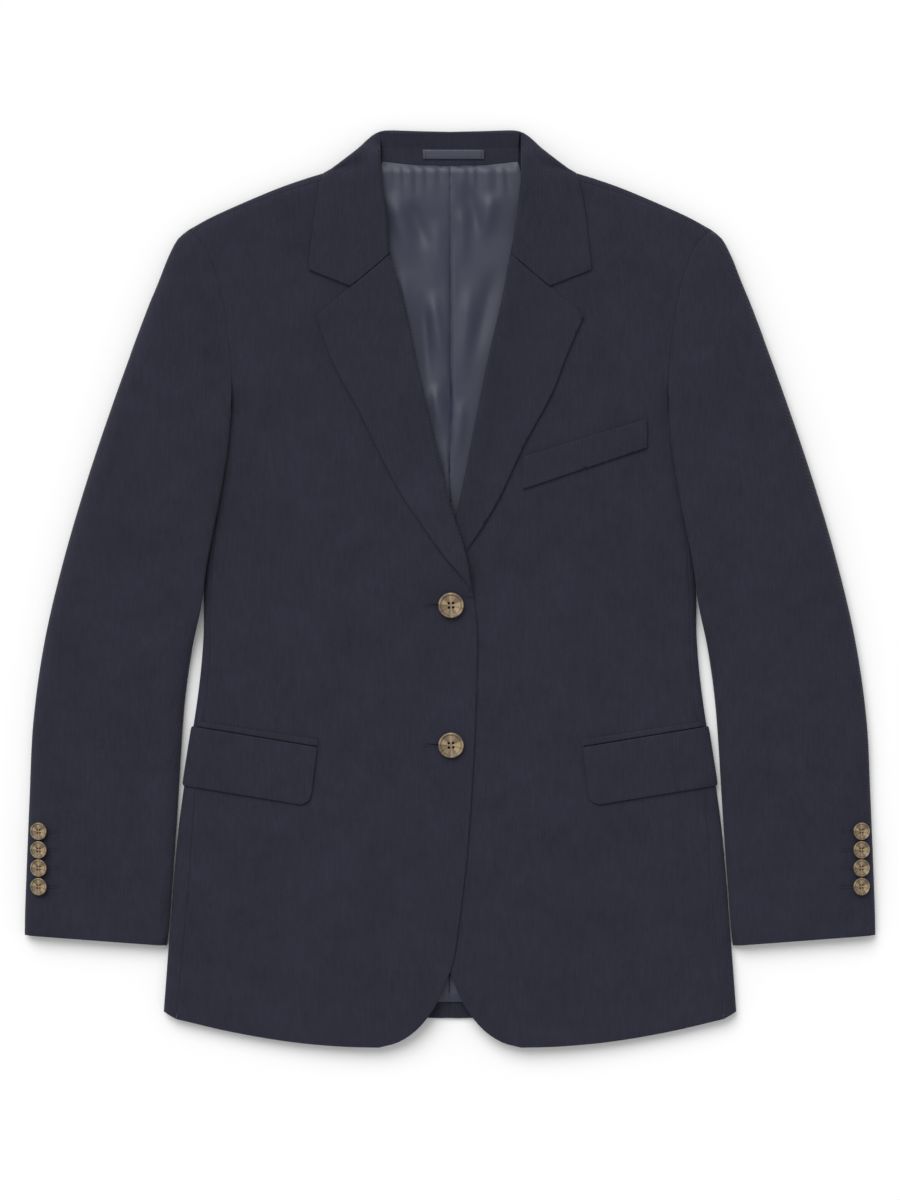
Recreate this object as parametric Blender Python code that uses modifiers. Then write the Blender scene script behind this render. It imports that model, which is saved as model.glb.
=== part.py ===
"""A tailored two-button jacket laid flat on its back, as one solid for each cut piece.

Lengths in this file are millimetres and become metres when an object is made.
The back lies on z = 0, the collar points along +Y, and +X is the wearer's left.
Outlines are given for the wearer's left side and are mirrored for the right.
A panel is a surface of patches, each a plan outline with a height, thickened inwards into a wall.
"""

import math

import bmesh
import bpy
import numpy as np
from mathutils import Vector
from mathutils.geometry import delaunay_2d_cdt

MM = 0.001

# Cloth thicknesses and the spaces between pieces.
CLOTH = 1.4
TURNED = 1.8
SATIN = 1.0
FACING = 1.2
SEAM_GAP = 0.3
LAYER_GAP = 0.45
TURNED_GAP = 0.7
LINING_GAP = 0.95
GORGE_GAP = 0.8

# Mesh spacing: inside a panel, along an edge, and along a tight curve.
GRID = 62.0
TRIM_GRID = 21.0
BEND_STEP = 20.0
EDGE_STEP = 44.0
CURVE_STEP = 17.0
WELD = 0.15

# Folded edges: how far the rounding reaches inwards above and below.
TOP_ROUND = 14.0
UNDER_ROUND = 8.0
ROLL_ROUND = 3.2
ROLL_STRIP = 8.0
ROUND_POWER = 2.2
ROUND_ROWS = (0.18, 0.53, 1)
TRIM_ROWS = (0.05, 0.18, 0.34, 0.53, 0.76, 1)

# The body's outline: shoulder, side fold and hems.
NECK_POINT = (73, 361.4)
SHOULDER_TIP = (221.5, 304.3)
SHOULDER_EDGE = [NECK_POINT, (90, 352.6), (105, 348), (125, 345.4), (152, 337), (198, 317), SHOULDER_TIP]
UNDERARM = (203, 95)
SIDE_EDGE = [UNDERARM, (205.5, 50), (208.7, 0), (209.4, -43), (214, -91), (225.6, -167), (233, -229),
             (243, -359)]
SEAM_AT_NECK = 7.5
SEAM_AT_TIP = 2.5
SIDE_STRIP = 5.0
FRONT_SIDE_SEAM = [(197.3, 115), (198.5, 60), (203, 0), (204, -60), (209, -112), (216, -173), (222, -255),
                   (232, -365)]
BACK_SIDE_SEAM = [(199.6, 135), (190, 60), (185, 0), (187, -60), (195, -150), (203, -250), (210, -362)]
FRONT_HEM = [(232, -365), (184.5, -376), (137, -384), (94, -388), (60.5, -389)]
CUTAWAY = [(60.5, -389), (44, -384.5), (29.5, -375), (18, -362), (8, -345), (-3, -314), (-8.5, -277),
           (-14, -232)]
FRONT_EDGE = [(-14, -232), (-18.4, -173), (-21.3, -117), (-23.2, -57), (-22.6, -29), (-20, -7)]
BACK_NECK = [(73, 361.4), (64, 368.5), (56, 372), (30, 374), (0, 374)]
BACK_HEM_Y = -365.0
HEM_DEPTH = 34.0
HEM_RUN = 24.0
LINING_HELD = -318.0

# The sleeve's outline, and the armhole seams on its two faces.
SLEEVE_OUTER = [SHOULDER_TIP, (231, 296), (239, 281), (246.5, 262), (260, 228), (285, 160), (308, 92),
                (328, 24), (344, -44), (353.6, -112), (357, -180), (360.4, -265), (361, -294)]
SLEEVE_INNER = [(240, -303), (238, -283), (232, -201), (227.5, -128), (224, -88), (218.5, -51), (210.5, -15),
                (206, 19), (201, 45.5), (194, 81), (188, 119), (185.3, 150)]
CUFF_LINE = [(361, -294), (240, -303)]
FRONT_ARMHOLE = [(185.3, 150), (185, 179), (187, 203), (191, 236), (197, 262), (207, 289), SHOULDER_TIP]
BACK_ARMHOLE = [UNDERARM, (201.5, 115), (198.5, 150), (196.5, 180), (200, 230), (206, 262), (214, 288),
                SHOULDER_TIP]
UNDER_SEAM_INNER = 16.0
UNDER_SEAM_OUTER = 5.0

# Heights of the outer surface above the ground, as (place along Y, height).
BODY_HEIGHTS = [(-389, 12), (-200, 11.2), (0, 11.2), (150, 11.8), (250, 12.5), (340, 13)]
SLEEVE_HEIGHTS = [(-300, 11), (-100, 13), (50, 16.2), (200, 16.8), (300, 15)]
SIDE_MIDDLE = 4.5
SHOULDER_MIDDLE = 6.5
SIDE_DROP = 2.0
SLEEVE_LIFT = 8.6
# Where the sleeve's under side climbs onto the body near the underarm: places along Y, and its two ends.
CLIMB_Y = (70, 95, 120, 150, 185)
CLIMB_INNER = (206.3, 203.5, 195.4, 185.8, 178)
CLIMB_OUTER = (218.3, 210, 201, 197.5, 190)
LIFTED_FROM = -52.0
LIFT_RUN = 26.0
LAPEL_SPACE = 3.4

# Roll lines run from the neck to the break of each front, and differ because the right front is on top.
ROLL_TOP = 385.6
GORGE_Y = 284.0
STAND_TOP = 385.2
ROLL_LEFT = [(60, ROLL_TOP), (59.5, 346), (51, 284), (40.4, 231), (31, 191), (20, 136), (13, 100), (6, 67),
             (-3, 40), (-12, 15), (-20, -7)]
ROLL_RIGHT = [(58.5, ROLL_TOP), (58.4, 360), (53.6, 315), (50.5, 284), (37, 236), (25, 179), (10.6, 117),
              (-2.5, 64), (-13, 30), (-20, -7)]
NOTCH = (84, 255.7)
LAPEL_TIP = (113.5, 230.6)
LAPEL_EDGE_LEFT = [LAPEL_TIP, (99, 198), (86, 164.5), (63, 122), (39, 71.5), (14, 32), (5, 19.5)]
LAPEL_EDGE_RIGHT = [LAPEL_TIP, (99, 191), (77, 150), (61, 117), (42, 81), (22.6, 52), (6, 28.5), (-7.8, 12)]
LAPEL_END_LEFT = 19.5
LAPEL_END_RIGHT = 12.0
LAPEL_ROLL = 2.4

# Collar: its fold behind the neck, its slanted sides, and the fall's lower edge behind.
COLLAR_FOLD = [(107, 353), (100, 357), (79, 373), (66, 384.5), (58, 389), (30, 388.2), (0, 387.6)]
COLLAR_TIP = (120, 270)
COLLAR_EDGE = [(107, 353), (113, 327), COLLAR_TIP]
FALL_CENTRE_Y = 338.0
FALL_RISE = 15.0
FALL_HALF_WIDTH = 107.0
FALL_SPACE = 2.4
LIFT_START = 44.0
LIFT_END = 6.0
COLLAR_MIDDLE = 4.5
COLLAR_BACK_HEIGHT = 8.0
COLLAR_UNDER_ROUND = 5.0
COLLAR_ROUND = 4.4
ROLL_STRIP_TOP = 372.0
ROLL_UNDER_NECK = 4.6

# Trim on the fronts.
FLAP_TOP = [(218.5, -116.9), (114, -134.3)]
FLAP_FRONT = [(112.6, -135.8), (117, -172)]
FLAP_CORNER = [(117, -172), (119.5, -180), (126.5, -183.2)]
FLAP_BOTTOM = [(126.5, -183.2), (227.5, -167.4)]
JET = [(214, -112.8), (111.4, -128), (112.2, -133.7), (214.8, -116.8)]
JET_THICKNESS = 1.0
FLAP_WRAP = 1.7
WELT = [(61.2, 111.4), (166.6, 143.7), (166.9, 119.2), (61.2, 83.7)]
LOOP = [(-23, 372.2), (29, 372.2), (29, 364.2), (-23, 364.2)]

# Buttons: radius, thickness, and their places.
FRONT_BUTTON = 10.9
CUFF_BUTTON = 7.5
FRONT_BUTTON_X = 0.85
FRONT_BUTTON_Y = (-14.3, -132.7)
CUFF_BUTTON_X = 347.7
CUFF_BUTTON_Y = (-205.5, -221.2, -236.6, -252.3)
BUTTON_STEPS = 20
CUFF_TILT = math.radians(18)

WOOL = ((0.025, 0.025, 0.039), 0.85)
LINING_SATIN = ((0.058, 0.062, 0.092), 0.38)
HORN = ((0.19, 0.13, 0.075), 0.3)


def smooth(value):
    """0 below 0, 1 above 1, and a smooth rise between."""
    value = np.clip(value, 0, 1)
    return value * value * (3 - 2 * value)


def rounded(value):
    """The profile of a folded edge: 0 at the fold, 1 where the rounding ends."""
    value = np.clip(value, 0, 1)
    return (1 - (1 - value) ** ROUND_POWER) ** (1 / ROUND_POWER)


def mix(low, high, share):
    return low + (high - low) * share


def steps_along(line, step):
    """The line again, with points a step or less apart and both ends kept."""
    line = np.asarray(line, float)
    lengths = np.r_[0, np.cumsum(np.hypot(*np.diff(line, axis=0).T))]
    count = max(1, math.ceil(lengths[-1] / step))
    wanted = np.linspace(0, lengths[-1], count + 1)
    return np.column_stack([np.interp(wanted, lengths, line[:, i]) for i in (0, 1)])


def curve(points, step=EDGE_STEP):
    """A smooth curve through the points, as a polyline."""
    points = np.asarray(points, float)
    ends = np.vstack([2 * points[0] - points[1], points, 2 * points[-1] - points[-2]])
    fine = [points[:1]]
    for a, b, c, d in zip(ends, ends[1:], ends[2:], ends[3:]):
        for t in np.linspace(0.1, 1, 10):
            bend = (2 * a - 5 * b + 4 * c - d) * t + (3 * b - a - 3 * c + d) * t * t
            fine.append([0.5 * (2 * b + (c - a) * t + bend * t)])
    return steps_along(np.vstack(fine), step)


def straight(*points, step=EDGE_STEP):
    """A polyline that keeps its corners."""
    runs = [steps_along([a, b], step) for a, b in zip(points, points[1:])]
    return np.vstack([run[:-1] for run in runs] + [runs[-1][-1:]])


def distance(x, y, line):
    """How far each place is from a polyline."""
    place = np.column_stack([np.ravel(x), np.ravel(y)]).astype(float)
    nearest = np.full(len(place), np.inf)
    for a, b in zip(line, line[1:]):
        run = b - a
        share = np.clip((place - a) @ run / (run @ run), 0, 1)
        nearest = np.minimum(nearest, np.hypot(*(place - a - share[:, None] * run).T))
    return nearest.reshape(np.shape(x))


def inside(x, y, outline):
    """Which places lie inside a closed outline."""
    found = np.zeros(len(x), bool)
    for (ax, ay), (bx, by) in zip(outline, np.roll(outline, -1, axis=0)):
        crosses = (ay > y) != (by > y)
        found ^= crosses & (x < ax + (y - ay) * (bx - ax) / (by - ay + 1e-12))
    return found


def moved(line, amount):
    """The line moved sideways, to the left of its direction where the amount is positive."""
    run = np.gradient(np.asarray(line, float), axis=0)
    across = np.column_stack([-run[:, 1], run[:, 0]]) / np.hypot(*run.T)[:, None]
    return line + across * np.reshape(amount, (-1, 1))


def mirrored(line, side):
    return np.asarray(line, float) * (side, 1)


def part_of(line, low, high):
    """The stretch of a line whose Y lies between two values, with its ends cut there."""
    fine = steps_along(line, 0.5)
    return fine[(fine[:, 1] >= low) & (fine[:, 1] <= high)]


# The edges that heights are measured from, all on the wearer's left.
SHOULDER = curve(SHOULDER_EDGE)
SIDE_FOLD = curve(SIDE_EDGE)
OUTER_FOLD = curve(SLEEVE_OUTER)
INNER_FOLD = curve(SLEEVE_INNER)
SLEEVE_CAP = part_of(curve(SLEEVE_OUTER, 8), 228, 304)
BODY_RIM = np.vstack([SHOULDER, SLEEVE_CAP, [(240, 150)], SIDE_FOLD])
SEAM_TOP = part_of(curve(FRONT_ARMHOLE, 5), 185, 305)
ROLLS = {1: curve(ROLL_LEFT, 5), -1: mirrored(curve(ROLL_RIGHT, 5), -1)}
HALF_FOLD = curve(COLLAR_FOLD, 12)
RIM_BEYOND = [(152, 341), (125, 350.4)]
FOLD_AT_NECK = np.vstack([HALF_FOLD, mirrored(HALF_FOLD, -1)[-2::-1]])
COLLAR_RIM = np.vstack([RIM_BEYOND, FOLD_AT_NECK, mirrored(RIM_BEYOND, -1)[::-1]])


def level(table, y):
    """A height that changes smoothly along the garment."""
    places, heights = np.array(table, float).T
    return np.interp(y, places, heights)


def fall_edge(x):
    """The lower edge of the collar's fall, behind the neck."""
    return FALL_CENTRE_Y + FALL_RISE * (np.abs(x) / FALL_HALF_WIDTH) ** 2.5


def back_lift(x, y):
    """How far the back is held off the ground by the collar's fall."""
    return FALL_SPACE * np.clip((y - fall_edge(x) + LIFT_START) / (LIFT_START - LIFT_END), 0, 1)


def lift_bends():
    """The two lines where the back starts and stops rising over the collar's fall."""
    x = np.linspace(0, 150, 8)
    return [np.column_stack([x, fall_edge(x) - LIFT_START]), np.column_stack([x, fall_edge(x) - LIFT_END])]


def body_middle(y):
    return mix(SIDE_MIDDLE, SHOULDER_MIDDLE, smooth((y - 95) / 130))


def body_top(x, y, out=0.0):
    """The fronts' outer surface, or one that lies a distance out from it and wraps its fold."""
    x = np.abs(x)
    side = smooth((x - 60) / 140) * (1 - smooth((y - 120) / 140))
    full = level(BODY_HEIGHTS, y) - SIDE_DROP * side
    beyond = (x > np.interp(-y, -SIDE_FOLD[:, 1], SIDE_FOLD[:, 0])) & (y < UNDERARM[1])
    reach = np.where(beyond, -1, 1) * distance(x, y, BODY_RIM)
    return mix(body_middle(y), full + out, rounded((reach + out) / (TOP_ROUND + out)))


def body_under(x, y):
    lift = back_lift(x, y)
    return mix(body_middle(y), lift, rounded(distance(np.abs(x), y, BODY_RIM) / UNDER_ROUND))


def overlap_lift(x, y):
    """How far the right front is raised where it lies on the left front and on its lapel."""
    on_front = np.clip((x - LIFTED_FROM) / LIFT_RUN, 0, 1) * (1 - smooth((y - 60) / 60))
    on_lapel = smooth((x + 40) / 25) * smooth((y + 14) / 22) * (1 - smooth((y - 66) / 34))
    return (CLOTH + LAYER_GAP) * on_front + LAPEL_SPACE * on_lapel


def overlap_bends():
    """The lines where the right front starts and stops rising over the left one, on the mirrored side."""
    along = [straight((place, -380), (place, 110)) for place in (-LIFTED_FROM, -LIFTED_FROM - LIFT_RUN)]
    across = [straight((42, y), (-22, y)) for y in (-14, -4, 8, 20, 45, 66, 83, 100)]
    return along + across


def front_top(side):
    """The outer surface of one front."""
    if side > 0:
        return body_top
    return lambda x, y, out=0.0: body_top(x, y, out) + overlap_lift(x, y)


def turned_top(side):
    """The outer surface of a lapel or collar leaf, which swells towards its roll line."""
    def height(x, y):
        front = front_top(side)(x, y, TURNED_GAP + TURNED)
        near = 1 - smooth(distance(x, y, ROLLS[side]) / 22)
        top = front + LAPEL_ROLL * near * mix(0.5, 1, smooth((y - 40) / 60))
        return mix(top, COLLAR_BACK_HEIGHT, smooth((y - 362) / 22))
    return height


def roll_under(side):
    """The under side of the cloth at a roll line, level with the front's inner surface."""
    def height(x, y):
        low = front_top(side)(x, y) - CLOTH
        return mix(low, ROLL_UNDER_NECK, smooth((y - 345) / 25))
    return height


def lapel_top(side):
    def height(x, y):
        top = turned_top(side)(x, y)
        low = roll_under(side)(x, y)
        return mix((top + low) / 2, top, rounded(distance(x, y, ROLLS[side]) / ROLL_ROUND))
    return height


def lapel_under(side):
    def height(x, y):
        top = turned_top(side)(x, y)
        low = roll_under(side)(x, y)
        return mix((top + low) / 2, low, rounded(distance(x, y, ROLLS[side]) / ROLL_ROUND))
    return height


def collar_top(x, y):
    left = lapel_top(1)(np.maximum(x, 0), y)
    right = lapel_top(-1)(np.minimum(x, 0), y)
    leaf = np.where(x > 0, left, right)
    return mix(COLLAR_MIDDLE, leaf, rounded(distance(x, y, COLLAR_RIM) / COLLAR_ROUND))


def collar_under(x, y):
    return mix(COLLAR_MIDDLE, 0, rounded(distance(x, y, COLLAR_RIM) / COLLAR_UNDER_ROUND))


def sleeve_middle(x, y):
    """The height of the sleeve's folds: the inner one lies on the body from the underarm to the waist."""
    lifted = smooth((y + 70) / 50)
    outer = body_middle(y)
    inner = 4.5 + SLEEVE_LIFT * lifted
    to_outer = distance(x, y, OUTER_FOLD)
    to_inner = distance(x, y, INNER_FOLD)
    return mix(outer, inner, to_outer / (to_outer + to_inner + 1e-9))


def sleeve_shape(x, y, reach):
    outer = rounded(distance(x, y, OUTER_FOLD) / reach)
    inner = rounded(distance(x, y, INNER_FOLD) / reach)
    return outer * inner


def sleeve_top(x, y):
    x = np.abs(x)
    own = mix(sleeve_middle(x, y), level(SLEEVE_HEIGHTS, y), sleeve_shape(x, y, TOP_ROUND))
    return mix(body_top(x, y), own, smooth(distance(x, y, SEAM_TOP) / 35))


def sleeve_rest(x, y):
    """What the sleeve's under side lies on: the ground, and the body's side fold near the armpit."""
    fold_x = np.interp(-y, -SIDE_FOLD[:, 1], SIDE_FOLD[:, 0])
    inner = np.where(y < CLIMB_Y[0], fold_x + 2, np.interp(y, CLIMB_Y, CLIMB_INNER))
    outer = np.where(y < CLIMB_Y[0], fold_x + 14, np.interp(y, CLIMB_Y, CLIMB_OUTER))
    on_body = 1 - smooth((x - inner) / (outer - inner))
    return (body_top(x - 3, y) + 1) * on_body * smooth((y + 70) / 50)


def sleeve_under(x, y):
    x = np.abs(x)
    rest = sleeve_rest(x, y)
    shape = sleeve_shape(x, y, UNDER_ROUND)
    edge = mix(body_top(x, y), sleeve_middle(x, y), smooth(distance(x, y, SEAM_TOP) / 35))
    return mix(edge, rest, shape)


def lining_top(x, y):
    on_hem = np.clip((LINING_HELD + HEM_RUN - y) / HEM_RUN, 0, 1)
    return back_lift(x, y) + CLOTH + LINING_GAP + SATIN + (FACING + LAYER_GAP) * on_hem


def facing_top(x, y):
    return back_lift(x, y) + CLOTH + LAYER_GAP + FACING


def stand_top(x, y):
    return mix(facing_top(x, 374), COLLAR_BACK_HEIGHT - 0.4, smooth((y - 374) / 12))


def loop_top(x, y):
    return facing_top(x, y) + LAYER_GAP + SATIN


def back_hem_top(x, y):
    return back_lift(x, y) + CLOTH + LAYER_GAP + FACING


def trim_top(thickness):
    """A piece that lies on the fronts and wraps the side fold with them."""
    return lambda x, y: body_top(x, y, TURNED_GAP + thickness)


def inset(runs):
    """A closed outline from runs of points, each run moved inwards by its own amount."""
    points = np.vstack([run[:-1] for run, amount in runs])
    amounts = np.concatenate([np.full(len(run) - 1, amount) for run, amount in runs])
    x, y = points.T
    turn = np.sum(x * np.roll(y, -1) - y * np.roll(x, -1))
    if turn < 0:
        points = points[::-1]
        amounts = np.roll(amounts[::-1], -1)
    run = np.roll(points, -1, axis=0) - points
    run /= np.hypot(*run.T)[:, None]
    inwards = np.column_stack([-run[:, 1], run[:, 0]])
    result = []
    for i, point in enumerate(points):
        before, after = inwards[i - 1], inwards[i]
        cross = before[0] * after[1] - before[1] * after[0]
        if abs(cross) < 0.08:
            result.append(point + after * (amounts[i - 1] + amounts[i]) / 2)
            continue
        x = (amounts[i - 1] * after[1] - amounts[i] * before[1]) / cross
        y = (amounts[i] * before[0] - amounts[i - 1] * after[0]) / cross
        result.append(point + (x, y))
    return np.array(result)


def rows_near(line, reach):
    """Rows of points along a folded edge, where the rounding bends. A negative reach asks for more rows."""
    rows = []
    line = line if reach > 0 else steps_along(line, 11)
    for share in ROUND_ROWS if reach > 0 else TRIM_ROWS:
        rows.append(moved(line, reach * share))
        rows.append(moved(line, -reach * share))
    return np.vstack(rows)


def fill(outline, folds, grid):
    """Triangles over a plan outline, with rows of points near its folds and a grid elsewhere."""
    low, high = outline.min(0), outline.max(0)
    across = np.arange(low[0] + grid / 2, high[0], grid)
    along = np.arange(low[1] + grid / 2, high[1], grid * 0.9)
    x, y = np.meshgrid(across, along)
    x = x + grid / 2 * (np.arange(len(along)) % 2)[:, None]
    spread = np.column_stack([x.ravel(), y.ravel()])
    loop = np.vstack([outline, outline[:1]])
    keep = inside(*spread.T, outline) & (distance(*spread.T, loop) > grid * 0.36)
    chosen = [outline]
    for line, reach in folds:
        keep &= distance(*spread.T, line) > abs(reach) + grid * 0.3
        rows = rows_near(line, reach) if reach else steps_along(line, BEND_STEP)
        fits = inside(*rows.T, outline) & (distance(*rows.T, loop) > max(reach * 0.15, 0.6))
        chosen.append(rows[fits])
    places = [tuple(p) for p in np.vstack([*chosen, spread[keep]])]
    found = delaunay_2d_cdt(places, [], [list(range(len(outline)))], 1, 1e-5)
    return np.array([tuple(p) for p in found[0]]), found[2]


def patch(height, runs, faces_up=True, folds=(), grid=GRID):
    """One stretch of cloth: its outer surface's height, its outline's runs, and its folds with their reach.

    A fold of no reach is a bend: a line of points where the height changes its slope.
    """
    return height, runs, faces_up, folds, grid


def cloth(name, thickness, finish, patches, side=1):
    """A panel: its patches are joined along shared folds and thickened inwards."""
    mesh = bmesh.new()
    for height, runs, faces_up, folds, grid in patches:
        places, triangles = fill(inset(with_rows(runs, folds)), folds, grid)
        places = mirrored(places, side)
        z = height(*places.T)
        points = [mesh.verts.new((x * MM, y * MM, h * MM)) for (x, y), h in zip(places, z)]
        for triangle in triangles:
            corners = [points[i] for i in triangle]
            mesh.faces.new(corners if faces_up == (side > 0) else corners[::-1])
    bmesh.ops.remove_doubles(mesh, verts=mesh.verts, dist=WELD * MM)
    return thickened(name, mesh, thickness, finish)


def wall_directions(mesh):
    """Where each point's inner twin lies for a wall of 1: square to the cloth, and upright at cut edges."""
    mesh.normal_update()
    result = []
    for point in mesh.verts:
        way = point.normal.copy()
        cuts = [run.verts[1].co - run.verts[0].co for run in point.link_edges if run.is_boundary]
        across = [Vector((-run.y, run.x, 0)) for run in cuts if run.xy.length > run.length * 0.3]
        if across:
            total = across[0].normalized()
            for other in across[1:]:
                total += other.normalized() * (1 if other.dot(total) > 0 else -1)
            total.normalize()
            way -= total * way.dot(total)
        nearest = min(way.dot(face.normal) / way.length for face in point.link_faces)
        result.append(way.normalized() / max(nearest, 0.55))
    return result


def thickened(name, mesh, thickness, finish):
    """A closed wall: the outer surface, the same moved inwards, and a strip along every cut edge."""
    ways = wall_directions(mesh)
    outer = list(mesh.verts)
    inner = [mesh.verts.new(point.co - way * thickness * MM) for point, way in zip(outer, ways)]
    twin = dict(zip(outer, inner))
    cuts = [run for run in mesh.edges if run.is_boundary]
    for face in list(mesh.faces):
        mesh.faces.new([twin[point] for point in reversed(face.verts)])
    for run in cuts:
        corner = run.link_loops[0]
        a, b = corner.vert, corner.link_loop_next.vert
        mesh.faces.new((b, a, twin[a], twin[b]))
    data = bpy.data.meshes.new(name)
    mesh.to_mesh(data)
    mesh.free()
    return placed(bpy.data.objects.new(name, data), finish)


def placed(piece, finish):
    jacket.objects.link(piece)
    piece.data.materials.clear()
    piece.data.materials.append(finishes[finish])
    return piece


def finish_material(name, colour, roughness):
    material = bpy.data.materials.new(name)
    material.use_nodes = True
    shader = material.node_tree.nodes["Principled BSDF"]
    shader.inputs["Base Color"].default_value = (*colour, 1)
    shader.inputs["Roughness"].default_value = roughness
    shader.inputs["Metallic"].default_value = 0
    return material


def seam(line):
    """An edge sewn to a neighbour, so half the seam's gap is left beside it."""
    return line, SEAM_GAP / 2, False


def fold(line):
    """An edge where the cloth turns under and goes on in another patch."""
    return line, 0.0, True


def edge(line):
    """A free edge."""
    return line, 0.0, False


def gorge_seam(line):
    """The seam between collar and lapel, a little more open because it crosses the roll."""
    return line, GORGE_GAP / 2, False


def with_rows(runs, folds):
    """The runs, with points of the rounding's rows added where a cut edge leaves a fold."""
    result = []
    for i, (line, amount, folded) in enumerate(runs):
        if not folded and runs[i - 1][2]:
            line = rows_at_start(line, folds)
        if not folded and runs[(i + 1) % len(runs)][2]:
            line = rows_at_start(line[::-1], folds)[::-1]
        result.append((line, amount))
    return result


def rows_at_start(line, folds):
    near = [size for fold_line, size in folds if size and distance(*line[:1].T, fold_line)[0] < 1]
    reach = min(near, key=abs, default=0)
    rows = [abs(reach) * share for share in (ROUND_ROWS if reach > 0 else TRIM_ROWS) if reach]
    lengths = np.r_[0, np.cumsum(np.hypot(*np.diff(line, axis=0).T))]
    rows = [row for row in rows if row < lengths[-1] * 0.9]
    if not rows:
        return line
    kept = lengths[(lengths > rows[-1] * 1.25)]
    wanted = np.r_[0, rows, kept] if len(kept) else np.r_[0, rows, lengths[-1]]
    return np.column_stack([np.interp(wanted, lengths, line[:, i]) for i in (0, 1)])


def shoulder_seam():
    """The seam in front of the shoulder edge, nearer to it at the tip."""
    back = np.linspace(SEAM_AT_NECK, SEAM_AT_TIP, len(SHOULDER))
    return moved(SHOULDER, -back)


def corner_at_tip():
    """Where the shoulder seam meets the armhole seam."""
    armhole = curve(FRONT_ARMHOLE, 5)
    near = distance(*armhole.T, SHOULDER) > SEAM_AT_TIP + 0.3
    return armhole[near][-1]


def between(line, low, high):
    """The stretch of a line between two places along Y, upwards, with its own points kept."""
    line = line[np.argsort(line[:, 1])]
    ends = [(np.interp(y, line[:, 1], line[:, 0]), y) for y in (low, high)]
    kept = line[(line[:, 1] > low + 0.5) & (line[:, 1] < high - 0.5)]
    return np.vstack([ends[:1], kept, ends[1:]])


def back_armhole(low=UNDERARM[1], high=SHOULDER_TIP[1]):
    """The back armhole seam upwards, with rows of points where both of its ends round."""
    line = rows_at_start(steps_along(curve(BACK_ARMHOLE, 2), 26), [(SIDE_FOLD, UNDER_ROUND)])
    line = rows_at_start(line[::-1], [(SHOULDER, UNDER_ROUND)])
    return between(line, low, high)


def back_side_seam():
    """The back side seam downwards, from its place on the armhole."""
    seam_line = curve(BACK_SIDE_SEAM)
    seam_line[0] = back_armhole(BACK_SIDE_SEAM[0][1])[0]
    return seam_line


def front_armhole():
    """The front armhole seam upwards, with rows of points where the shoulder rounds."""
    line = steps_along(curve(FRONT_ARMHOLE, 2), 26)
    return rows_at_start(line[::-1], [(SHOULDER, TOP_ROUND)])[::-1]


def shoulder_join():
    """The seam between front and back, from the neck to the armhole."""
    line, tip = shoulder_seam(), corner_at_tip()
    return np.vstack([line[line[:, 0] < tip[0] - 8], [tip]])


def roll_runs(side):
    """The roll line upwards as two runs, for lapel and collar, with the strips' other edges."""
    roll = mirrored(ROLLS[side], side)[::-1]
    end = LAPEL_END_LEFT if side > 0 else LAPEL_END_RIGHT
    lapel = steps_along(part_of(roll, end, GORGE_Y), 30)
    leaf = steps_along(part_of(roll, GORGE_Y, ROLL_STRIP_TOP), 30)
    leaf[0] = lapel[-1]
    gorge = np.subtract(NOTCH, leaf[0])
    gorge /= np.hypot(*gorge)
    run = (leaf[1] - lapel[-2]) / np.hypot(*(leaf[1] - lapel[-2]))
    corner = leaf[0] + gorge * ROLL_STRIP / abs(run[0] * gorge[1] - run[1] * gorge[0])
    beside_lapel, beside_leaf = moved(lapel, -ROLL_STRIP), moved(leaf, -ROLL_STRIP)
    beside_lapel[-1] = beside_leaf[0] = corner
    return lapel, leaf, beside_lapel, beside_leaf


def make_fronts():
    join = shoulder_join()
    armhole = front_armhole()
    armhole = np.vstack([armhole[armhole[:, 1] < join[-1, 1] - 1.5], join[-1:]])
    under = straight(tuple(armhole[0]), FRONT_SIDE_SEAM[0])
    hem = np.vstack([curve(FRONT_HEM), curve(CUTAWAY, CURVE_STEP)[1:], curve(FRONT_EDGE)[1:]])
    rims = [(SHOULDER, TOP_ROUND), (SIDE_FOLD, TOP_ROUND)]
    for side, name in ((1, "front_left"), (-1, "front_right")):
        lapel, leaf, beside_lapel, beside_leaf = roll_runs(side)
        inner = np.vstack([beside_lapel, beside_leaf[1:][beside_leaf[1:, 1] < join[0, 1] - 8], join[:1]])
        close = straight(tuple(hem[-1]), tuple(inner[0]))
        runs = [seam(curve(FRONT_SIDE_SEAM)), edge(hem), edge(close), seam(inner), seam(join),
                seam(armhole[::-1]), seam(under)]
        bends = [(line, 0) for line in overlap_bends()] if side < 0 else []
        cloth(name, CLOTH, "wool", [patch(front_top(side), runs, True, rims + bends)], side)


def make_backs():
    for side, name in ((1, "back_left"), (-1, "back_right")):
        neck = curve(BACK_NECK, 20)
        centre = straight((0, 374), (0, BACK_HEM_Y))
        hem = straight((0, BACK_HEM_Y), BACK_SIDE_SEAM[-1])
        side_seam = back_side_seam()[::-1]
        armhole = back_armhole(BACK_SIDE_SEAM[0][1])
        under = [seam(centre), edge(hem), seam(side_seam), seam(armhole), fold(SHOULDER[::-1]), seam(neck)]
        join = shoulder_join()
        strip = [fold(SHOULDER), seam(np.vstack([SHOULDER[-1], join[-1]])), seam(join[::-1]),
                 seam(np.vstack([join[0], SHOULDER[0]]))]
        rim = [(SHOULDER, UNDER_ROUND)] + [(line, 0) for line in lift_bends()]
        cloth(name, CLOTH, "wool", [patch(body_under, under, False, rim),
                                    patch(body_top, strip, True, [(SHOULDER, SEAM_AT_NECK)])], side)


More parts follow.
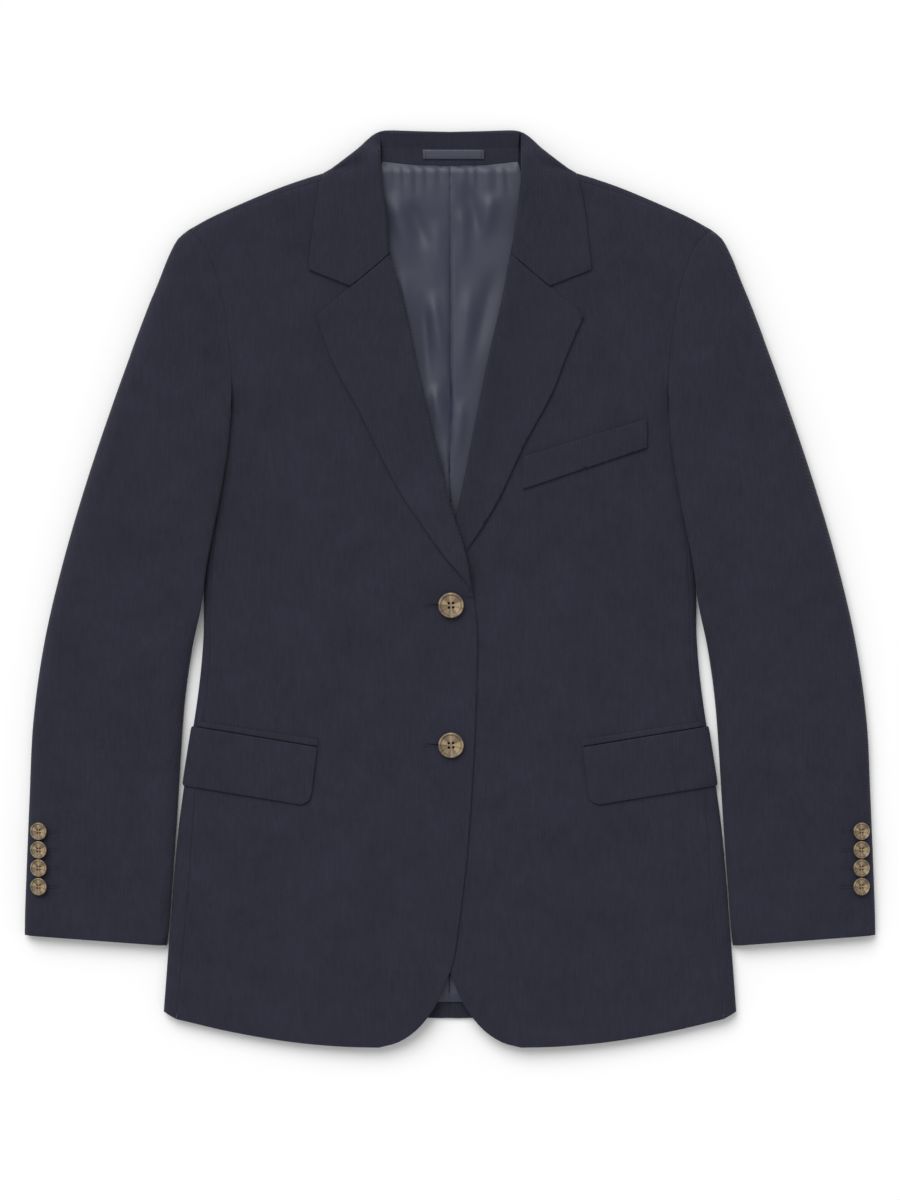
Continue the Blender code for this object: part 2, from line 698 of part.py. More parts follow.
def make_sides():
    for side, name in ((1, "side_left"), (-1, "side_right")):
        armhole = straight(UNDERARM, FRONT_SIDE_SEAM[0])
        seam_line = curve(FRONT_SIDE_SEAM)
        hem = straight(FRONT_SIDE_SEAM[-1], SIDE_EDGE[-1])
        top = [seam(armhole), seam(seam_line), edge(hem), fold(SIDE_FOLD[::-1])]
        back_arm = back_armhole(high=BACK_SIDE_SEAM[0][1])
        under_hem = straight(BACK_SIDE_SEAM[-1], SIDE_EDGE[-1])
        under = [seam(back_arm), seam(back_side_seam()), edge(under_hem), fold(SIDE_FOLD[::-1])]
        cloth(name, CLOTH, "wool", [patch(body_top, top, True, [(SIDE_FOLD, SIDE_STRIP)]),
                                    patch(body_under, under, False, [(SIDE_FOLD, UNDER_ROUND)])], side)


def under_seams():
    """The two long seams under the sleeve: one starts at the underarm, one runs close to the outer fold."""
    inner = moved(INNER_FOLD, -UNDER_SEAM_INNER)
    inner = np.vstack([inner[inner[:, 1] < 60], [UNDERARM]])
    inner[0] = on_cuff(inner[0, 0])
    outer = moved(OUTER_FOLD, -UNDER_SEAM_OUTER)
    outer[-1] = on_cuff(outer[-1, 0])
    back = back_armhole()
    fine = steps_along(back[-6:], 0.5)
    top = fine[distance(*fine.T, OUTER_FOLD) > UNDER_SEAM_OUTER][-1]
    return inner, np.vstack([[top], outer[outer[:, 1] < top[1] - 8]])


def on_cuff(x):
    """The place on the cuff's edge at a given X."""
    (ax, ay), (bx, by) = CUFF_LINE
    return x, ay + (x - ax) * (by - ay) / (bx - ax)


def make_sleeves():
    inner, outer = under_seams()
    outer_cuff, inner_cuff = CUFF_LINE
    armhole = front_armhole()
    armhole[0] = INNER_FOLD[-1]
    back = back_armhole(high=outer[0, 1])
    rims = [(OUTER_FOLD, TOP_ROUND), (INNER_FOLD, TOP_ROUND)]
    top = [fold(OUTER_FOLD), edge(straight(*CUFF_LINE)), fold(INNER_FOLD), seam(armhole)]
    inner_strip = [fold(INNER_FOLD), seam(straight(tuple(INNER_FOLD[-1]), UNDERARM)), seam(inner[::-1]),
                   edge(straight(tuple(inner[0]), inner_cuff))]
    outer_strip = [fold(OUTER_FOLD), edge(straight(outer_cuff, tuple(outer[-1]))), seam(outer[::-1]),
                   seam(back_armhole(low=outer[0, 1]))]
    under = [seam(inner), seam(back), seam(outer), edge(straight(tuple(outer[-1]), tuple(inner[0])))]
    for side, name in ((1, "left"), (-1, "right")):
        cloth("top_sleeve_" + name, CLOTH, "wool",
              [patch(sleeve_top, top, True, rims),
               patch(sleeve_under, inner_strip, False, [(INNER_FOLD, UNDER_ROUND)]),
               patch(sleeve_under, outer_strip, False, [(OUTER_FOLD, UNDER_ROUND)])], side)
        cloth("under_sleeve_" + name, CLOTH, "wool",
              [patch(sleeve_under, under, False,
                     [(OUTER_FOLD, UNDER_ROUND), (SIDE_FOLD, UNDER_ROUND)])], side)


def make_lapels():
    for side, name in ((1, "lapel_left"), (-1, "lapel_right")):
        roll, leaf, beside, beside_leaf = roll_runs(side)
        free = curve(LAPEL_EDGE_LEFT if side > 0 else LAPEL_EDGE_RIGHT, 30)
        gorge = straight(tuple(roll[-1]), tuple(beside[-1]), NOTCH, step=30)
        top = [fold(roll), gorge_seam(gorge), edge(straight(NOTCH, LAPEL_TIP)), edge(free),
               edge(straight(tuple(free[-1]), tuple(roll[0])))]
        strip = [fold(roll), gorge_seam(gorge[:2]), seam(beside[::-1]),
                 edge(straight(tuple(beside[0]), tuple(roll[0])))]
        rim = [(roll, ROLL_ROUND)]
        cloth(name, TURNED, "wool", [patch(lapel_top(side), top, True, rim, TRIM_GRID),
                                     patch(lapel_under(side), strip, False, rim, TRIM_GRID)], side)


def leaf_runs(side):
    """The collar leaf's runs on one side, each from its gorge end, in place."""
    lapel, roll, beside_lapel, beside = roll_runs(side)
    high = straight(tuple(roll[-1]), tuple(mirrored(ROLLS[side], side)[0]))
    gorge = straight(tuple(roll[0]), tuple(beside[0]), NOTCH, step=30)
    outer = np.vstack([straight(NOTCH, COLLAR_TIP), curve(COLLAR_EDGE[::-1], 30)[1:]])
    return [mirrored(run, side) for run in (roll, high, gorge, outer, beside)]


def make_collar():
    left_roll, left_high, left_gorge, left_outer, left_beside = leaf_runs(1)
    right_roll, right_high, right_gorge, right_outer, right_beside = leaf_runs(-1)
    inner = straight(tuple(right_high[-1]), tuple(left_high[-1]))
    top = [fold(left_roll[::-1]), gorge_seam(left_gorge), edge(left_outer), fold(FOLD_AT_NECK),
           edge(right_outer[::-1]), gorge_seam(right_gorge[::-1]), fold(right_roll), edge(right_high),
           seam(inner), edge(left_high[::-1])]
    x = np.linspace(-FALL_HALF_WIDTH, FALL_HALF_WIDTH, 9)
    fall = [fold(FOLD_AT_NECK), edge(np.column_stack([x, fall_edge(x)]))]
    shoulders = [mirrored(moved(SHOULDER, -TOP_ROUND * share), side)
                 for side in (1, -1) for share in TRIM_ROWS[1:]]
    rims = [(FOLD_AT_NECK, -TOP_ROUND), (left_roll, ROLL_ROUND), (right_roll, ROLL_ROUND)]
    rims += [(steps_along(line[:4], BEND_STEP / 2), 0) for line in shoulders]
    patches = [patch(collar_top, top, True, rims, TRIM_GRID),
               patch(collar_under, fall, False, [(FOLD_AT_NECK, COLLAR_UNDER_ROUND)], TRIM_GRID)]
    for side, roll, beside in ((1, left_roll, left_beside), (-1, right_roll, right_beside)):
        strip = [fold(roll), edge(straight(tuple(roll[-1]), tuple(beside[-1]))), seam(beside[::-1]),
                 gorge_seam(straight(tuple(beside[0]), tuple(roll[0])))]
        patches.append(patch(lapel_under(side), strip, False, [(roll, ROLL_ROUND)], TRIM_GRID))
    cloth("collar", TURNED, "wool", patches)


def make_neck():
    half = 57.6
    stand = straight((-half, STAND_TOP), (half, STAND_TOP),
                     (half - 1, 374.2), (1 - half, 374.2), (-half, STAND_TOP),
                     step=30)
    cloth("collar_stand", TURNED, "wool", [patch(stand_top, [seam(stand)])])
    lower = curve([(57.5, 362.2), (30, 359.4), (0, 358.7), (-30, 359.4), (-57.5, 362.2)], 24)
    upper = straight((-57.5, 374.2), (57.5, 374.2), step=30)
    ends = [straight((57.5, 374.2), (57.5, 362.2)), straight((-57.5, 362.2), (-57.5, 374.2))]
    around = [seam(upper), seam(ends[0]), seam(lower), seam(ends[1])]
    cloth("neck_facing", FACING, "wool", [patch(facing_top, around)])
    loop = straight(*LOOP, LOOP[0], step=26)
    cloth("hanger_loop", SATIN, "lining", [patch(loop_top, [seam(loop)])])


def make_linings():
    for side, name in ((1, "lining_left"), (-1, "lining_right")):
        slant = steps_along([(61, 351), (100, 335)], 10)
        neck = np.vstack([curve([(0, 358.7), (30, 359.4), (57.5, 362.2)], 24), slant])
        outer = curve([(100, 335), (140, 300), (160, 200), (172, 100), (168, 0), (176, -180), (184, -351)])
        hem = straight((184, -351), (0, -351))
        centre = straight((0, -351), (0, 358.7))
        hem_bends = [straight((4, y), (180, y)) for y in (LINING_HELD, LINING_HELD + HEM_RUN)]
        bends = [(line, 0) for line in lift_bends() + hem_bends]
        around = [seam(neck), edge(outer), edge(hem), seam(centre)]
        cloth(name, SATIN, "lining", [patch(lining_top, around, folds=bends)], side)


def make_back_hems():
    for side, name in ((1, "back_hem_left"), (-1, "back_hem_right")):
        low, high = BACK_HEM_Y + 0.4, BACK_HEM_Y + HEM_DEPTH
        around = straight((0, low), (196, low + 2), (196, high), (0, high), (0, low))
        cloth(name, FACING, "wool", [patch(back_hem_top, [seam(around)])], side)


def fine_from(start, end):
    """A straight edge that leaves the side fold, with points where the cloth rounds there."""
    line = steps_along([start, end], 26)
    lengths = np.hypot(*(line - line[0]).T)
    near = FLAP_WRAP + TOP_ROUND * np.array(TRIM_ROWS)
    wanted = np.r_[0, near, lengths[lengths > near[-1] + 3]]
    return line[0] + np.outer(wanted / lengths[-1], line[-1] - line[0])


def make_pockets():
    for side, name in ((1, "left"), (-1, "right")):
        jet = np.vstack([fine_from(JET[0], JET[1]), fine_from(JET[3], JET[2])[::-1], [JET[0]]])
        rim = [(SIDE_FOLD, -TOP_ROUND)]
        cloth("pocket_jet_" + name, JET_THICKNESS, "wool",
              [patch(trim_top(JET_THICKNESS), [edge(jet)], True, rim, TRIM_GRID)], side)
        outer = moved(part_of(SIDE_FOLD, -167.4, -116.9), FLAP_WRAP)
        outer = steps_along(outer[np.argsort(-outer[:, 1])], 17)
        top = fine_from(outer[0], FLAP_TOP[1])
        front = np.vstack([straight(FLAP_TOP[1], *FLAP_FRONT), curve(FLAP_CORNER, 3)[1:]])
        bottom = fine_from(outer[-1], FLAP_BOTTOM[0])[::-1]
        runs = [edge(top), edge(front), edge(bottom), edge(outer[::-1])]
        flap = patch(trim_top(CLOTH), runs, True, rim, TRIM_GRID)
        cloth("pocket_flap_" + name, CLOTH, "wool", [flap], side)


def make_welt():
    around = straight(*WELT, WELT[0], step=28)
    cloth("chest_welt", CLOTH, "wool", [patch(trim_top(CLOTH), [edge(around)], grid=TRIM_GRID)])


def button_profile(radius, height):
    """Half a section of a horn button with a raised rim and a dished middle."""
    return [(0, height * 0.62), (radius * 0.55, height * 0.62), (radius * 0.72, height * 0.95),
            (radius * 0.86, height), (radius * 0.98, height * 0.8), (radius, height * 0.5),
            (radius * 0.8, height * 0.1), (radius * 0.5, 0), (0, 0)]


def turned(name, profile, collection):
    """A shape turned about Z from its half section, which runs down its outer side."""
    data = bpy.data.meshes.new(name)
    points = [(r * MM, 0, h * MM) for r, h in profile]
    data.from_pydata(points, [(i, i + 1) for i in range(len(points) - 1)], [])
    piece = bpy.data.objects.new(name, data)
    collection.objects.link(piece)
    spin = piece.modifiers.new("Turn", "SCREW")
    spin.steps = BUTTON_STEPS
    spin.render_steps = BUTTON_STEPS
    spin.use_merge_vertices = True
    spin.merge_threshold = 1e-6
    return piece


def make_holes(radius):
    """Four thread holes, as one cutter."""
    mesh = bmesh.new()
    across = radius * 0.17
    for x in (-across, across):
        for y in (-across, across):
            made = bmesh.ops.create_cone(mesh, cap_ends=True, segments=8, radius1=radius * 0.095 * MM,
                                         radius2=radius * 0.095 * MM, depth=radius * MM)
            bmesh.ops.translate(mesh, verts=made["verts"], vec=(x * MM, y * MM, 0))
    data = bpy.data.meshes.new("thread_holes")
    mesh.to_mesh(data)
    mesh.free()
    cutter = bpy.data.objects.new("thread_holes", data)
    cutter.hide_render = True
    cutter.display_type = "WIRE"
    cutters.objects.link(cutter)
    return cutter


def make_button(name, radius, height, place, tilt=0.0):
    piece = turned(name, button_profile(radius, height), jacket)
    piece.data.materials.append(finishes["horn"])
    cutter = make_holes(radius)
    cut = piece.modifiers.new("Holes", "BOOLEAN")
    cut.operation = "DIFFERENCE"
    cut.solver = "EXACT"
    cut.object = cutter
    for item in (piece, cutter):
        item.location = [value * MM for value in place]
        item.rotation_euler = (0, tilt, 0)


def make_buttons():
    for number, y in enumerate(FRONT_BUTTON_Y, 1):
        around = np.array([(0, 0), (1, 0), (-1, 0), (0, 1), (0, -1)]) * FRONT_BUTTON * 0.8
        z = float(front_top(-1)(FRONT_BUTTON_X + around[:, 0], y + around[:, 1]).max())
        make_button(f"front_button_{number}", FRONT_BUTTON, 3.4, (FRONT_BUTTON_X, y, z + LAYER_GAP))
    for side, name in ((1, "left"), (-1, "right")):
        for number, y in enumerate(CUFF_BUTTON_Y, 1):
            z = float(sleeve_top(np.array([CUFF_BUTTON_X]), np.array([y]))[0])
            make_button(f"cuff_button_{name}_{number}", CUFF_BUTTON, 2.6, (side * CUFF_BUTTON_X, y, z + 1.6),
                        side * CUFF_TILT)


for old in list(bpy.data.objects):
    bpy.data.objects.remove(old)
jacket = bpy.data.collections.new("jacket")
cutters = bpy.data.collections.new("cutters")
bpy.context.scene.collection.children.link(jacket)
bpy.context.scene.collection.children.link(cutters)
finishes = {"wool": finish_material("wool", *WOOL), "lining": finish_material("lining", *LINING_SATIN),
            "horn": finish_material("horn", *HORN)}
make_fronts()
make_backs()
make_sides()
make_sleeves()
make_lapels()
make_collar()
make_neck()
make_linings()
make_back_hems()
make_pockets()
make_welt()
make_buttons()
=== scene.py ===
"""A two-button tailored jacket laid flat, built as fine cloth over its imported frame.

Lengths in the cutting tables are millimetres and become metres when a mesh is made.
The collar points along +Y, +X is the wearer's left, and outlines are given for that side and mirrored.
"""

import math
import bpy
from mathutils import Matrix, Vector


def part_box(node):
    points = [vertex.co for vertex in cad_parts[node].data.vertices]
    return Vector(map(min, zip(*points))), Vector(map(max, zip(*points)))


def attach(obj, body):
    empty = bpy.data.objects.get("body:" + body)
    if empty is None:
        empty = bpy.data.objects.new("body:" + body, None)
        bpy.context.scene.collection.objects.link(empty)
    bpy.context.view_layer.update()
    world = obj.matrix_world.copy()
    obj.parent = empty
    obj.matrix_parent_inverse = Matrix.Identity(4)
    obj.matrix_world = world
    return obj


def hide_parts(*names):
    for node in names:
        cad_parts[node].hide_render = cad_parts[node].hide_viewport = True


bl_info = {
    "name": "Tailored Jacket",
    "version": (1, 0, 0),
    "blender": (4, 5, 0),
    "location": "View3D > Sidebar > Jacket",
    "description": "Builds the cloth, lining, buttonholes, buttons and studio of a jacket laid flat",
    "category": "Object",
}

import bmesh
import bpy
import numpy as np
from bpy.props import FloatProperty, FloatVectorProperty, PointerProperty
from mathutils import Vector
from mathutils.geometry import delaunay_2d_cdt

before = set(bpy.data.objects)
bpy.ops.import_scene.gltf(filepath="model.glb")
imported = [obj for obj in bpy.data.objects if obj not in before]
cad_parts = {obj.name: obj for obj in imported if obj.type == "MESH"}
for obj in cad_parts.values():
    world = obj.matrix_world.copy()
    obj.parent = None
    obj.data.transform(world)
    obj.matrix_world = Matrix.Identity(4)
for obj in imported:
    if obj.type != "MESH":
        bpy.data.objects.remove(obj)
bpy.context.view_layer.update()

MM = 0.001

# Cloth thicknesses and the spaces between pieces.
CLOTH = 1.4
TURNED = 1.8
SATIN = 1.0
FACING = 1.2
SEAM_GAP = 0.1
LAYER_GAP = 0.45
TURNED_GAP = 0.7
LINING_GAP = 0.95
GORGE_GAP = 0.8

# Mesh spacing: inside a panel, along an edge, and along a tight curve.
GRID = 7.0
TRIM_GRID = 5.0
EDGE_STEP = 6.0
WELD = 0.15
CLEAR_OF_CUT = 0.28
CLEAR_OF_FOLD = 1.2
STRAIGHT_ON = 0.08
LEAST_SLANT = 0.85

# Folded edges: how far the rounding reaches inwards above and below.
TOP_ROUND = 14.0
UNDER_ROUND = 8.0
ROLL_ROUND = 3.2
ROLL_STRIP = 8.0
ROUND_POWER = 2.2
ROUND_ROWS = (0.04, 0.11, 0.2, 0.34, 0.53, 0.76, 1)

# The body's outline: shoulder, side fold and hems.
NECK_POINT = (73, 361.4)
SHOULDER_TIP = (221.5, 304.3)
SHOULDER_EDGE = [NECK_POINT, (90, 357), (104, 353.2), (125, 346.8), (152, 337), (198, 317), SHOULDER_TIP]
UNDERARM = (203, 95)
SIDE_EDGE = [UNDERARM, (205.5, 50), (208.7, 0), (209.4, -43), (214, -91), (225.6, -167), (233, -229),
             (243, -359)]
SEAM_AT_NECK = 7.5
SEAM_AT_TIP = 2.5
SIDE_STRIP = 5.0
FRONT_SIDE_SEAM = [(197.3, 115), (198.5, 60), (203, 0), (204, -60), (209, -112), (216, -173), (222, -255),
                   (232, -365)]
BACK_SIDE_SEAM = [(199.6, 135), (190, 60), (185, 0), (187, -60), (195, -150), (203, -250), (210, -362)]
FRONT_HEM = [(232, -365), (184.5, -376), (137, -384), (94, -388), (60.5, -389)]
CUTAWAY = [(60.5, -389), (44, -384.5), (29.5, -375), (18, -362), (8, -345), (-3, -314), (-8.5, -277),
           (-14, -232)]
FRONT_EDGE = [(-14, -232), (-18.4, -173), (-21.3, -117), (-23.2, -57), (-22.6, -29), (-20, -7)]
BACK_NECK = [(73, 361.4), (64, 368.5), (56, 372), (30, 374), (0, 374)]
BACK_HEM_Y = -365.0
HEM_DEPTH = 34.0
HEM_RUN = 24.0
BACK_HEM_END = 196.0
LINING_HELD = -318.0
LINING_HEM_Y = -351.0
LINING_NECK = [(0, 358.7), (30, 359.4), (57.5, 362.2)]
LINING_SHOULDER = [(61, 351), (100, 335)]
LINING_OUTER = [(100, 335), (140, 300), (160, 200), (172, 100), (168, 0), (176, -180), (184, LINING_HEM_Y)]

# The sleeve's outline, and the armhole seams on its two faces.
SLEEVE_OUTER = [SHOULDER_TIP, (231, 296), (239, 281), (246.5, 262), (260, 228), (285, 160), (308, 92),
                (328, 24), (344, -44), (353.6, -112), (357, -180), (360.4, -265), (361, -294)]
SLEEVE_INNER = [(240, -303), (238, -283), (232, -201), (227.5, -128), (224, -88), (218.5, -51), (210.5, -15),
                (206, 19), (201, 45.5), (194, 81), (188, 119), (185.3, 150)]
CUFF_LINE = [(361, -294), (240, -303)]
FRONT_ARMHOLE = [(185.3, 150), (185, 179), (187, 203), (191, 236), (197, 262), (207, 289), SHOULDER_TIP]
BACK_ARMHOLE = [UNDERARM, (201.5, 115), (198.5, 150), (196.5, 180), (200, 230), (206, 262), (214, 288),
                SHOULDER_TIP]
UNDER_SEAM_INNER = 16.0
UNDER_SEAM_OUTER = 5.0

# Heights of the outer surface above the ground, as (place along Y, height).
BODY_HEIGHTS = [(-389, 12), (-200, 11.2), (0, 11.2), (150, 11.8), (250, 12.5), (340, 13)]
SLEEVE_HEIGHTS = [(-300, 11), (-100, 13), (50, 16.2), (200, 16.8), (300, 15)]
SIDE_MIDDLE = 4.5
SHOULDER_MIDDLE = 6.5
SIDE_DROP = 2.0
SLEEVE_LIFT = 8.6
SLEEVE_BLEND = 35
# Where the sleeve's under side climbs onto the body near the underarm: places along Y, and its two ends.
CLIMB_Y = (70, 95, 120, 150, 185)
CLIMB_INNER = (206.3, 203.5, 195.4, 185.8, 178)
CLIMB_OUTER = (218.3, 210, 201, 197.5, 190)
LIFTED_FROM = -52.0
LIFT_RUN = 26.0
LAPEL_SPACE = 3.4

# Roll lines run from the neck to the break of each front, and differ because the right front is on top.
ROLL_TOP = 385.6
GORGE_Y = 284.0
STAND_TOP = 385.5
ROLL_LEFT = [(60, ROLL_TOP), (59.5, 346), (51, 284), (40.4, 231), (31, 191), (20, 136), (13, 100), (6, 67),
             (-3, 40), (-12, 15), (-20, -7)]
ROLL_RIGHT = [(58.5, ROLL_TOP), (58.4, 360), (53.6, 315), (50.5, 284), (37, 236), (25, 179), (10.6, 117),
              (-2.5, 64), (-13, 30), (-20, -7)]
NOTCH = (84, 255.7)
LAPEL_TIP = (113.5, 230.6)
LAPEL_EDGE_LEFT = [LAPEL_TIP, (99, 198), (86, 164.5), (63, 122), (39, 71.5), (14, 32), (5, 19.5)]
LAPEL_EDGE_RIGHT = [LAPEL_TIP, (99, 191), (77, 150), (61, 117), (42, 81), (22.6, 52), (6, 28.5),
                    (-6, 14.5), (-13.5, 4.5), (-18.4, -3.5)]
LAPEL_END_LEFT = 19.5
LAPEL_END_RIGHT = -6.8
LAPEL_ROLL = 2.4
LAPEL_MERGE = 26.0

# Collar: its fold behind the neck, its slanted sides, and the fall's lower edge behind.
COLLAR_FOLD = [(107, 353), (100, 357), (79, 373), (71, 380.3), (65, 385.2), (58.5, 388.2), (50, 388.9),
               (30, 388.3), (0, 387.6)]
COLLAR_TIP = (120, 270)
COLLAR_EDGE = [(107, 353), (113, 327), COLLAR_TIP]
FALL_CENTRE_Y = 338.0
FALL_RISE = 15.0
FALL_HALF_WIDTH = 107.0
FALL_SPACE = 2.4
LIFT_START = 44.0
LIFT_END = 6.0
COLLAR_MIDDLE = 4.5
COLLAR_BACK_HEIGHT = 8.0
COLLAR_UNDER_ROUND = 5.0
COLLAR_ROUND = 4.4
ROLL_STRIP_TOP = 372.0
ROLL_UNDER_NECK = 4.6
LAPEL_SWELL_RUN = 22
STAND_HALF = 58.9
STAND_FOOT = 374.2
FACING_HALF = 58.2
FACING_LOW = [(FACING_HALF, 362.2), (30, 359.4), (0, 358.7), (-30, 359.4), (-FACING_HALF, 362.2)]

# Trim on the fronts.
FLAP_TOP = [(218.5, -116.9), (114, -134.3)]
FLAP_FRONT = [(112.6, -135.8), (117, -172)]
FLAP_CORNER = [(117, -172), (119.5, -180), (126.5, -183.2)]
FLAP_BOTTOM = [(126.5, -183.2), (227.5, -167.4)]
JET = [(214, -112.8), (111.4, -128), (112.2, -133.7), (214.8, -116.8)]
JET_THICKNESS = 1.0
FLAP_WRAP = 1.7
WELT = [(61.2, 111.4), (166.6, 143.7), (166.9, 119.2), (61.2, 83.7)]
LOOP = [(-23, 372.2), (29, 372.2), (29, 364.2), (-23, 364.2)]

# Buttons: radius, thickness, and their places.
FRONT_BUTTON = 10.9
CUFF_BUTTON = 7.5
FRONT_BUTTON_X = 0.85
FRONT_BUTTON_Y = (-14.3, -132.7)
CUFF_BUTTON_X = 347.7
CUFF_BUTTON_Y = (-205.5, -221.2, -236.6, -252.3)
FRONT_BUTTON_HEIGHT = 3.4
CUFF_BUTTON_HEIGHT = 2.6
CUFF_SHANK = 1.6
BUTTON_TURN = 0.06
BUTTON_STEPS = 48
# Half a button's section, in shares of its radius and height: the face, the raised rim, and the back.
BUTTON_SHAPE = [(0, 0.6), (0.3, 0.6), (0.62, 0.66), (0.76, 0.72), (0.81, 0.76), (0.84, 0.95), (0.88, 1),
                (0.93, 0.99), (0.975, 0.86), (1, 0.6), (0.97, 0.36), (0.8, 0.1), (0.5, 0), (0, 0)]
CUFF_TILT = math.radians(18)
HOLE_PLACE = 0.168
HOLE_SIZE = 0.105

# How the cloth dips at a cut edge or a seam, and how far in from it.
EDGE_DROP = 0.42
EDGE_REACH = 1.7
EDGE_ROWS = (0.3, 0.8, 1.6)
SHARP_ANGLE = math.radians(52)
CORNER_ROUND = 2.2
CORNER_TURN = math.radians(35)

# Soft troughs and ridges, each as two ends, its half width and its height.
BODY_CREASE_SHARE = 1.5
LINING_LOOSE = 2.4
LINING_FINE = [(0, 55, 66, 361, 2.8), (0, -352, 26, -250, 3.0)]
BODY_CREASES = [
    (188, 88, 182, -70, 15, -1.0), (168, 84, 166, -60, 13, 0.6), (-188, 88, -182, -70, 15, -1.0),
    (-168, 84, -166, -60, 13, 0.6), (30, -10, 120, 45, 11, -0.45), (-34, -12, -120, 40, 11, -0.45),
    (36, -20, 130, -8, 10, 0.4), (-40, -22, -130, -10, 10, 0.4), (26, -128, 88, -92, 9, -0.35),
    (-36, -128, -92, -96, 9, -0.35), (180, 150, 150, 215, 16, 0.7), (-180, 150, -150, 215, 16, 0.7),
    (176, 118, 120, 150, 13, -0.5), (-176, 118, -120, 150, 13, -0.5), (120, 300, 60, 200, 30, 0.4),
    (200, -215, 176, -340, 15, 0.6), (-200, -215, -176, -340, 15, 0.6), (150, -220, 138, -360, 17, -0.6),
    (-150, -220, -136, -360, 17, -0.6), (70, -200, 84, -360, 22, 0.5), (-70, -210, -80, -350, 22, 0.5),
]
SLEEVE_CREASES = [
    (222, -10, 262, -42, 8, -0.8), (226, -40, 276, -66, 8, 0.6), (232, -78, 286, -84, 9, -0.7),
    (236, -104, 276, -112, 8, 0.45), (212, 60, 246, 20, 10, -0.7), (205, 110, 236, 62, 11, 0.6),
    (198, 168, 226, 122, 11, -0.7), (198, 214, 222, 170, 10, 0.5), (330, -20, 300, -64, 15, -0.5),
    (338, -90, 306, -120, 13, 0.45), (250, 246, 246, 180, 15, 0.8), (232, 268, 222, 214, 9, -0.5),
    (300, -150, 296, -290, 30, 0.5), (262, -170, 262, -290, 14, -0.5),
]
LINING_FOLDS = [
    (0, 350, 0, 40, 1.7, -1.3), (3.4, 346, 3, 60, 2, 0.5), (0, -260, 0, -345, 1.7, -1.2),
    (-47, 361, -46, 336, 1.8, -0.85), (-40, 361, -39, 340, 1.8, -0.85), (-29.5, 361, -28, 332, 2, -0.94),
    (-20.5, 361, -19, 338, 1.8, -0.85), (-9, 361, -9, 342, 1.8, -0.68), (16, 361, 17, 338, 1.8, -0.85),
    (22, 361, 24, 334, 2, -0.94), (38.7, 361, 41, 336, 1.8, -0.85), (46, 361, 50, 334, 1.8, -0.85),
    (-44, 361, -42, 332, 2.8, 0.68), (-35, 361, -32, 324, 3, 0.74), (-25, 361, -23, 330, 2.6, 0.62),
    (-14, 361, -13, 332, 2.8, 0.62), (11, 361, 12, 330, 2.6, 0.62), (19, 361, 21, 328, 2.8, 0.68),
    (31, 361, 33, 328, 3.2, 0.74), (43, 361, 46, 326, 3, 0.68), (-25, 250, -17, 160, 5, -2.75),
    (-15, 252, -5, 184, 5, 2.75), (-2.5, 178, 0, 140, 3.6, -2), (-13.5, 172, -7, 132, 4, 2.25),
    (-47, 332, -34, 280, 7, 3), (-33, 324, -22, 294, 6, -2.5), (-12, 310, -9, 262, 7, 2),
    (-40, 270, -34, 200, 5, 1.5), (13, 342, 25, 300, 6, -2.75), (36, 332, 28, 300, 6, 2.75),
    (10, 322, 11, 276, 5, 2.25), (37, 270, 21, 196, 6, -2.12), (17, 258, 9, 172, 6, 2.25),
    (10, 160, 6, 110, 4, 1.5), (-3, 130, -2, 70, 3, 1), (-12, -316, -10, -350, 3, 1.4),
    (13, -316, 16, -350, 3, 1.4), (1, -320, 3, -350, 2.4, -1),
]

# What each piece lies on. SIDE stands for the piece's own side, or for both where it crosses the middle.
RESTS_ON = {
    "front": "back_SIDE_cloth", "back": "floor", "side": "floor", "top_sleeve": "under_sleeve_SIDE_cloth",
    "under_sleeve": "floor", "lapel": "front_SIDE_cloth", "collar": "front_SIDE_cloth",
    "collar_stand": "back_SIDE_cloth", "neck_facing": "back_SIDE_cloth", "hanger_loop": "neck_facing_cloth",
    "lining": "back_SIDE_cloth", "back_hem": "back_SIDE_cloth", "pocket_flap": "front_SIDE_cloth",
    "pocket_jet": "front_SIDE_cloth", "chest_welt": "front_left_cloth",
}

# Buttonholes run inwards from each button. The thread is a tube that swells at every stitch.
HOLE_REACH = 21.5
CUFF_HOLE_REACH = 15.7
HOLE_HALF_WIDTH = 1.25
THREAD_RADIUS = 0.3
SLIT_RADIUS = 0.85
STITCH = 1.1


def smooth(value):
    """0 below 0, 1 above 1, and a smooth rise between."""
    value = np.clip(value, 0, 1)
    return value * value * (3 - 2 * value)


def rounded(value):
    """The profile of a folded edge: 0 at the fold, 1 where the rounding ends."""
    value = np.clip(value, 0, 1)
    return (1 - (1 - value) ** ROUND_POWER) ** (1 / ROUND_POWER)


def mix(low, high, share):
    return low + (high - low) * share


def steps_along(line, step):
    """The line again, with points a step or less apart and both ends kept."""
    line = np.asarray(line, float)
    lengths = np.r_[0, np.cumsum(np.hypot(*np.diff(line, axis=0).T))]
    count = max(1, math.ceil(lengths[-1] / step))
    wanted = np.linspace(0, lengths[-1], count + 1)
    return np.column_stack([np.interp(wanted, lengths, line[:, i]) for i in (0, 1)])


def curve(points, step=EDGE_STEP):
    """A smooth curve through the points, as a polyline."""
    points = np.asarray(points, float)
    ends = np.vstack([2 * points[0] - points[1], points, 2 * points[-1] - points[-2]])
    fine = [points[:1]]
    for a, b, c, d in zip(ends, ends[1:], ends[2:], ends[3:]):
        for t in np.linspace(0.1, 1, 10):
            bend = (2 * a - 5 * b + 4 * c - d) * t + (3 * b - a - 3 * c + d) * t * t
            fine.append([0.5 * (2 * b + (c - a) * t + bend * t)])
    return steps_along(np.vstack(fine), step)


